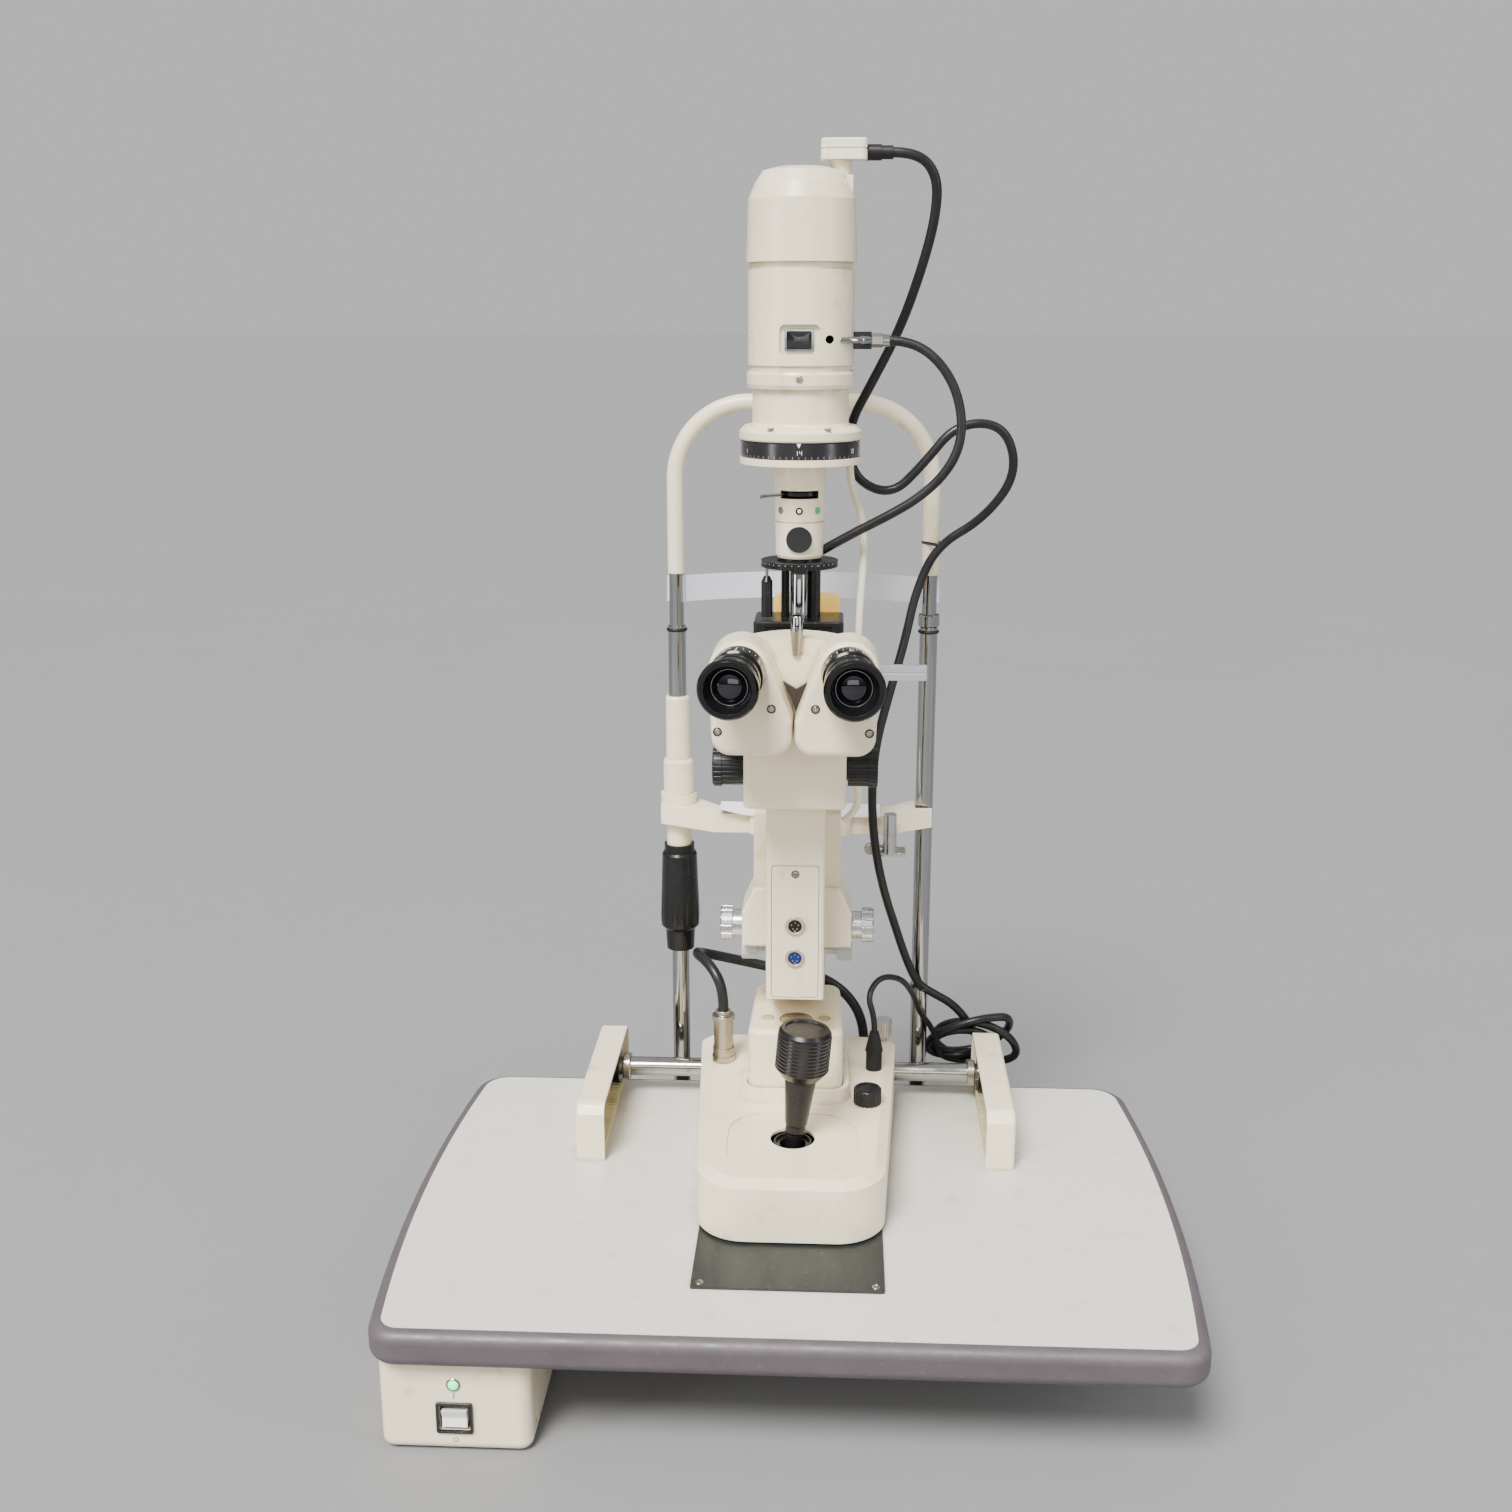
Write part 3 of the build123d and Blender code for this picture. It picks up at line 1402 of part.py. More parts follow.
save(tube("supply cord", supply_route, SUPPLY_R), "supply_cord")
save(tube("background fibre", fibre_route, FIBRE_R), "background_fibre")
save(tube("conduit", conduit_route, CONDUIT_R), "conduit")
lamp_cord = tube("lamp cord", lamp_route, LAMP_CORD_R)
lamp_lead = tube("lamp lead", lead_route, LEAD_R)
with lamp_cord:
    add(lamp_lead.part)
save(lamp_cord, "lamp_cord")

COIL_R = 34.0
with BuildPart() as lamp_cord_coil:
    with BuildSketch(on_axis(150, 204, 57, (0, 1, 0))):
        Circle(COIL_R)
        Circle(COIL_R - 16, mode=Mode.SUBTRACT)
    extrude(amount=20)
    fillet(lamp_cord_coil.edges(), 5)
save(lamp_cord_coil, "lamp_cord_coil")
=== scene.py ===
"""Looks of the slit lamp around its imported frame.  Lengths in the tables below are millimetres."""
import math

import bmesh
import bpy
from mathutils import Matrix, Vector


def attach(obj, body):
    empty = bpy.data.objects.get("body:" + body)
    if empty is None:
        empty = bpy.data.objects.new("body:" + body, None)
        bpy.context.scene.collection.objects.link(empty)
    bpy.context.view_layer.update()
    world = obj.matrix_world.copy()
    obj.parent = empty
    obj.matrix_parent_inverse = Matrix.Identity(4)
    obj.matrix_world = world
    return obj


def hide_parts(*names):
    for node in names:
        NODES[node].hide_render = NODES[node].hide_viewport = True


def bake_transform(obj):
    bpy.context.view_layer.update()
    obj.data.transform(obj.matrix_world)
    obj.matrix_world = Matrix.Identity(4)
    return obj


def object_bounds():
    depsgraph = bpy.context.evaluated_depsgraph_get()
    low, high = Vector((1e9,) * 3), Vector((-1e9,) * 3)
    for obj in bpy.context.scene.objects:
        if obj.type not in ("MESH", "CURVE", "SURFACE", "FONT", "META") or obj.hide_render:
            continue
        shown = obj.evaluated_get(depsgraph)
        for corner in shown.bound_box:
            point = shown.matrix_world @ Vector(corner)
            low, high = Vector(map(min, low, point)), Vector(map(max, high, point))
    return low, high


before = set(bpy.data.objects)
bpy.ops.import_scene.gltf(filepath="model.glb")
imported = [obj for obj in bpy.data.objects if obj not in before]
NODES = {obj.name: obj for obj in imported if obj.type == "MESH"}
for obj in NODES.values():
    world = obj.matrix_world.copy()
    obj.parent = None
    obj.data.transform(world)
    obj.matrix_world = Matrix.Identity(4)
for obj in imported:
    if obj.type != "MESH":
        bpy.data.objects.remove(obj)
CAD_LOW, CAD_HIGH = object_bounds()
MM = 0.001
TURN = 2 * math.pi
UP, TOWARDS_EXAMINER = (0, 0, 1), (0, -1, 0)
FRONT, LEVEL = ((1, 0, 0), (0, 0, 1)), ((1, 0, 0), (0, 1, 0))
SIDES = ((-1, "left"), (1, "right"))

# faces and axes of the CAD that the looks refer to
LAMP_Y = 85.0  # upright axis of the lamp, its dial and the lens tube
TUBE_RADIUS, DIAL_RADIUS, HOUSING_RADIUS = 18.0, 42.9, 37.6
DIAL_Z = 571
DIAL_TICKS, TICK_TOP = 60, 568.2
EYE_SEAT, EYE_TURN = (36, -62, 437), math.radians(4)  # the right eyepiece; the left one mirrors it
PRISM_FRONT, ARM_FRONT = -61.6, 17.8
PEDESTAL_TOP, TABLE_SCREW_Z = 131.8, 27.55
POST_X, POST_Y = 102, 200
POWER_X, POWER_FRONT = -219, -188

# camera fitted to the photograph, and the stage; metres and degrees
CAMERA_PLACE = (0.0285, -1.1517, 0.666)
CAMERA_DOWN, CAMERA_LEFT = 14.7, 2.8
FOCAL_LENGTH, SENSOR_WIDTH = 40.24, 36.0
LIGHT_AIM = (0, 0.05, 0.35)
FLOOR_GAP = 1.0  # millimetres under the lowest point
BACKDROP = 0.605


def linked(name, data):
    """New object in the scene."""
    obj = bpy.data.objects.new(name, data)
    bpy.context.scene.collection.objects.link(obj)
    return obj


# ---------------------------------------------------------------- camera
def make_camera():
    """Camera at the photograph's place, looking slightly down."""
    data = bpy.data.cameras.new("camera")
    data.sensor_width = SENSOR_WIDTH
    data.lens = FOCAL_LENGTH
    data.clip_start, data.clip_end = 0.01, 100.0
    camera = linked("camera", data)
    camera.location = CAMERA_PLACE
    camera.rotation_euler = (math.radians(90 - CAMERA_DOWN), 0.0, math.radians(CAMERA_LEFT))
    bpy.context.scene.camera = camera


make_camera()


# ---------------------------------------------------------------- mesh helpers
def basis(direction):
    """Two unit vectors square to a direction, and its own."""
    w = Vector(direction).normalized()
    u = w.cross(Vector((0, 0, 1)))
    if u.length < 0.01:
        u = Vector((1, 0, 0))
    u.normalize()
    return u, w.cross(u).normalized(), w


def angles(count):
    return [TURN * k / count for k in range(count)]


def circle(r, n=40):
    """Outline of a circle, as (x, y)."""
    return [(r * math.cos(a), r * math.sin(a)) for a in angles(n)]


def circle_at(centre, u, v, radius, seg):
    """Circle in the plane of u and v."""
    return [centre + (u * math.cos(a) + v * math.sin(a)) * radius for a in angles(seg)]


def lathe(bm, profile, origin, direction, seg=40, mat=0, closed=False):
    """Turned shape: profile is (radius, distance along the axis)."""
    u, v, w = basis(direction)
    rings = []
    for radius, along in profile:
        centre = Vector(origin) + w * along
        points = circle_at(centre, u, v, radius, seg) if radius else [centre]
        rings.append([bm.verts.new(p * MM) for p in points])
    pairs = list(zip(rings, rings[1:]))
    if closed:
        pairs.append((rings[-1], rings[0]))
    for a, b in pairs:
        for k in range(seg):
            n = (k + 1) % seg
            corners = [a[k % len(a)], a[n % len(a)], b[n % len(b)], b[k % len(b)]]
            loop = list(dict.fromkeys(corners))
            if len(loop) > 2:
                bm.faces.new(loop).material_index = mat


def box(bm, centre, size, bevel=0.5, turn=None, mat=0):
    """Box with rounded edges."""
    made = bmesh.ops.create_cube(bm, size=1.0)["verts"]
    rotation = turn.to_4x4() if turn else Matrix.Identity(4)
    place = Matrix.Translation(Vector(centre) * MM) @ rotation @ Matrix.Diagonal((*(Vector(size) * MM), 1))
    bmesh.ops.transform(bm, matrix=place, verts=made)
    for f in bm.faces:
        if f.verts[0] in made:
            f.material_index = mat
    if bevel:
        edges = [e for e in bm.edges if e.verts[0] in made]  # in the mesh's order, the same each run
        bmesh.ops.bevel(
            bm, geom=edges, offset=bevel * MM, segments=3, profile=0.5,
            affect="EDGES", clamp_overlap=True, material=mat,
        )


def corner(x, y, r, first, n=6):
    """Quarter circle round (x, y), starting at an angle in degrees."""
    turned = [math.radians(first + 90 * k / n) for k in range(n + 1)]
    return [(x + r * math.cos(a), y + r * math.sin(a)) for a in turned]


def rounded(width, height, r):
    """Outline of a rounded rectangle, as (x, y)."""
    out = []
    for x, y, first in ((1, 1, 0), (-1, 1, 90), (-1, -1, 180), (1, -1, 270)):
        out += corner(x * (width / 2 - r), y * (height / 2 - r), r, first)
    return out


def loop_at(bm, outline, origin, x_dir, y_dir, grow=1.0, lift=0.0):
    """Ring of vertices of an outline on a plane."""
    x, y = Vector(x_dir), Vector(y_dir)
    z = x.cross(y)
    return [
        bm.verts.new((Vector(origin) + x * a * grow + y * b * grow + z * lift) * MM)
        for a, b in outline
    ]


def bridge(bm, a, b, mat=0):
    """Band of faces between two rings."""
    for k in range(len(a)):
        n = (k + 1) % len(a)
        bm.faces.new((a[k], a[n], b[n], b[k])).material_index = mat


def band(bm, rings):
    """Faces between successive rings, the last joined to the first."""
    for a, b in zip(rings, rings[1:] + rings[:1]):
        bridge(bm, a, b)


def raised(bm, outline, origin, x_dir, y_dir, levels, mat=0):
    """Solid over an outline: levels are (size of the outline, height over the plane)."""
    rings = [loop_at(bm, outline, origin, x_dir, y_dir, grow, lift) for grow, lift in levels]
    for a, b in zip(rings, rings[1:]):
        bridge(bm, a, b, mat)
    bm.faces.new(rings[-1]).material_index = mat
    bm.faces.new(rings[0][::-1]).material_index = mat


def prism(bm, outline, origin, x_dir, y_dir, height, bevel=0.4, mat=0):
    """Outline raised along its plane's normal, with its top edge eased."""
    span = max(max(abs(a), abs(b)) for a, b in outline)
    shrink = 1 - bevel / span
    eased = (1 + shrink) / 2 + 0.2 * (1 - shrink)
    levels = ((1.0, 0.0), (1.0, height - bevel), (eased, height - 0.3 * bevel), (shrink, height))
    raised(bm, outline, origin, x_dir, y_dir, levels, mat)


def crowned(bm, outline, origin, plane, rim, crown, mat=0, steps=8):
    """Upright rim with a gently domed top."""
    levels = [(1.0, 0.0)]
    for k in range(steps + 1):
        share = 0.94 * k / steps
        levels.append((1 - share, rim + crown * (1 - (1 - share) ** 2)))
    raised(bm, outline, origin, *plane, levels, mat)


def frame_ring(bm, outer, inner, origin, x_dir, y_dir, height):
    """Flat frame between two outlines with equal numbers of points."""
    levels = ((outer, 1.0, 0.0), (outer, 0.985, height), (inner, 1.02, height), (inner, 1.0, 0.0))
    band(bm, [loop_at(bm, o, origin, x_dir, y_dir, grow, lift) for o, grow, lift in levels])


def ring(bm, origin, direction, outer, inner, low, high, ease=0.3, mat=0, seg=48):
    """Collar with eased edges."""
    profile = [
        (inner, low), (outer - ease, low), (outer, low + ease), (outer, high - ease), (outer - ease, high),
        (inner + ease, high), (inner, high - ease),
    ]
    lathe(bm, profile, origin, direction, seg=seg, mat=mat, closed=True)


def torus(bm, origin, direction, major, minor):
    profile = [(major + x, y) for x, y in circle(minor, 12)]
    lathe(bm, profile, origin, direction, seg=48, closed=True)


def cross_screw(bm, at, direction, r, height, turn, mat=0):
    """Domed screw head with a cross recess cut into it."""
    u, v, w = basis(direction)
    u, v = u * math.cos(turn) + v * math.sin(turn), v * math.cos(turn) - u * math.sin(turn)
    seg, at = 32, Vector(at)
    dome = ((r, 0.0), (r, height * 0.35), (r * 0.93, height * 0.75), (r * 0.74, height))
    rim = [
        [bm.verts.new(p * MM) for p in circle_at(at + w * lift, u, v, radius, seg)]
        for radius, lift in dome
    ]
    for a, b in zip(rim, rim[1:]):
        bridge(bm, a, b, mat)
    bm.faces.new(rim[0][::-1]).material_index = mat
    arm, half = r * 0.58, r * 0.13
    plus = [(arm, -half), (arm, half), (half, half)]
    for k in range(9):  # the other three arms, each a quarter turn on
        x, y = plus[k]
        plus.append((-y, x))
    top = [bm.verts.new((at + w * height + u * a + v * b) * MM) for a, b in plus]
    low = [bm.verts.new((at + w * height * 0.25 + u * a * 0.8 + v * b * 0.8) * MM) for a, b in plus]
    edges = [bm.edges.new((top[k], top[(k + 1) % len(top)])) for k in range(len(top))]
    edges += [bm.edges.get((rim[-1][k], rim[-1][(k + 1) % seg])) for k in range(seg)]
    filled = bmesh.ops.triangle_fill(bm, use_beauty=True, use_dissolve=False, edges=edges)
    for f in filled["geom"]:
        if isinstance(f, bmesh.types.BMFace):
            f.material_index = mat
    bridge(bm, top, low, mat)
    bm.faces.new(low).material_index = mat


def mesh_object(bm, name, materials, smooth):
    """Object made from a filled bmesh, smooth up to an angle in degrees."""
    bmesh.ops.recalc_face_normals(bm, faces=bm.faces)
    data = bpy.data.meshes.new(name)
    bm.to_mesh(data)
    bm.free()
    obj = linked(name, data)
    for m in materials:
        data.materials.append(m)
    data.shade_smooth()
    data.set_sharp_from_angle(angle=math.radians(smooth))
    return obj


# ---------------------------------------------------------------- material helpers
SPECK_START, SPECK_FULL = 0.62, 0.72  # noise values
DIRT_AND_SHADE_FULL, DIRT_AND_SHADE_GONE, DIRT_AND_SHADE_MOST = 0.12, 0.40, 0.55  # openness of a corner, share of dirt and painted shade
DIRT_AND_SHADE_SCALE = 45.0


def add(tree, kind, links=(), **settings):
    """One node: settings are its attributes or its inputs' values, links are (input, socket)."""
    node = tree.nodes.new("ShaderNode" + kind)
    for key, value in settings.items():
        if hasattr(node, key):
            setattr(node, key, value)
        else:
            node.inputs[key.replace("_", " ")].default_value = value
    for name, socket in links:
        tree.links.new(socket, node.inputs[name])
    return node


def new_material(name):
    m = bpy.data.materials.new(name)
    m.use_nodes = True
    tree = m.node_tree
    tree.nodes.clear()
    shader = add(tree, "BsdfPrincipled")
    add(tree, "OutputMaterial", [(0, shader.outputs[0])])
    return m, tree, shader


def feed(tree, socket, value):
    """Link a socket to an input, or set the input to a number or a colour."""
    if isinstance(value, bpy.types.NodeSocket):
        tree.links.new(value, socket)
    elif isinstance(value, (int, float)):
        socket.default_value = value
    else:
        socket.default_value = (*value, 1.0)


def set_inputs(shader, values):
    """Set a shader's inputs; an underscore in a key stands for a space."""
    for key, value in values.items():
        shader.inputs[key.replace("_", " ")].default_value = value


def maths(tree, operation, *values):
    node = add(tree, "Math", operation=operation)
    for socket, value in zip(node.inputs, values):
        feed(tree, socket, value)
    return node.outputs[0]


def noise(tree, where, scale, detail=4.0, rough=0.55, distortion=0.0):
    settings = {"Scale": scale, "Detail": detail, "Roughness": rough, "Distortion": distortion}
    return add(tree, "TexNoise", [("Vector", where)], **settings).outputs["Fac"]


def spread(tree, value, low, high, start=0.3, stop=0.7):
    """Value's range from start to stop mapped onto low to high."""
    limits = {"From_Min": start, "From_Max": stop, "To_Min": low, "To_Max": high}
    return add(tree, "MapRange", [("Value", value)], clamp=True, **limits).outputs["Result"]


def mix(tree, factor, a, b):
    """Colour mix; the node's colour sockets are its inputs 6 and 7 and its output 2."""
    node = add(tree, "Mix", data_type="RGBA")
    for number, value in ((0, factor), (6, a), (7, b)):
        feed(tree, node.inputs[number], value)
    return node.outputs[2]


def shade(colour, factor):
    return tuple(min(1.0, c * factor) for c in colour)


def surface(
    name, colour, rough, metal=0.0, mottle=0.05, mottle_scale=9.0, stretch=(1, 1, 1),
    rough_span=0.06, rough_scale=60.0, grain=0.0, grain_scale=900.0, dirt_and_shade=None, dirt_and_shade_depth=7.0,
    speck=None, edge_round=0.0, **sockets,
):
    """Procedural finish: mottled colour, uneven gloss, fine grain, dirt and painted shade in the corners.

    speck is (strength, noise scale, colour); grain, dirt_and_shade_depth and edge_round are millimetres.
    """
    m, tree, shader = new_material(name)
    coords = add(tree, "TexCoord").outputs["Object"]
    where = add(tree, "Mapping", [("Vector", coords)], Scale=stretch).outputs["Vector"]
    tone = noise(tree, where, mottle_scale, 5.0, 0.6, 0.3)
    base = mix(tree, spread(tree, tone, 0.0, 1.0), shade(colour, 1 - mottle), shade(colour, 1 + mottle))
    if speck:
        strength, size, tint = speck
        dots = noise(tree, coords, size, 2.0, 0.5)
        base = mix(tree, spread(tree, dots, 0.0, strength, SPECK_START, SPECK_FULL), base, tint)
    if dirt_and_shade:
        # painted shade: ambient occlusion darkens the colour in corners and creases, and noise breaks it up
        # so that it also reads as dirt
        occlusion_shade = add(tree, "AmbientOcclusion", samples=6, Distance=dirt_and_shade_depth * MM)
        dirt_and_shade_mask = maths(tree, "MULTIPLY", occlusion_shade.outputs["AO"], noise(tree, coords, DIRT_AND_SHADE_SCALE))
        base = mix(tree, spread(tree, dirt_and_shade_mask, DIRT_AND_SHADE_MOST, 0.0, DIRT_AND_SHADE_FULL, DIRT_AND_SHADE_GONE), base, dirt_and_shade)
    tree.links.new(base, shader.inputs["Base Color"])
    gloss = spread(tree, noise(tree, where, rough_scale), max(0.02, rough - rough_span), rough + rough_span)
    tree.links.new(gloss, shader.inputs["Roughness"])
    normal = None
    if edge_round:
        normal = add(tree, "Bevel", samples=4, Radius=edge_round * MM).outputs[0]
    if grain:
        height = noise(tree, where, grain_scale, 3.0)
        bump = add(tree, "Bump", [("Height", height)], Strength=1.0, Distance=grain * MM)
        if normal:
            tree.links.new(normal, bump.inputs["Normal"])
        normal = bump.outputs[0]
    if normal:
        tree.links.new(normal, shader.inputs["Normal"])
    set_inputs(shader, {"Metallic": metal, **sockets})
    return m


def clear_glass(name, tint, rough, **sockets):
    """Coated optical glass, its gloss slightly smeared."""
    m, tree, shader = new_material(name)
    coords = add(tree, "TexCoord").outputs["Object"]
    tone = noise(tree, coords, 30.0)
    tree.links.new(mix(tree, tone, shade(tint, 0.8), shade(tint, 1.2)), shader.inputs["Base Color"])
    gloss = spread(tree, noise(tree, coords, 120.0), rough, rough * 2.5)
    tree.links.new(gloss, shader.inputs["Roughness"])
    set_inputs(shader, {"Coat_Roughness": 0.02, **sockets})
    return m


def numbered_dial():
    """Gloss black ring with fine ticks along its lower rim."""
    m, tree, shader = new_material("dial_ring")
    coords = add(tree, "TexCoord").outputs["Object"]
    place = add(tree, "SeparateXYZ", [("Vector", coords)]).outputs
    turn = maths(tree, "ARCTAN2", maths(tree, "SUBTRACT", place["Y"], LAMP_Y * MM), place["X"])
    saw = maths(tree, "FRACT", maths(tree, "MULTIPLY", turn, DIAL_TICKS / TURN))
    tick = spread(tree, saw, 1.0, 0.0, 0.03, 0.05)
    low = spread(tree, place["Z"], 1.0, 0.0, TICK_TOP * MM, (TICK_TOP + 0.2) * MM)
    ground = mix(tree, noise(tree, coords, 40.0), (0.008, 0.008, 0.010), (0.016, 0.015, 0.018))
    colour = mix(tree, maths(tree, "MULTIPLY", tick, low), ground, (0.55, 0.55, 0.53))
    tree.links.new(colour, shader.inputs["Base Color"])
    tree.links.new(spread(tree, noise(tree, coords, 90.0), 0.16, 0.30), shader.inputs["Roughness"])
    return m


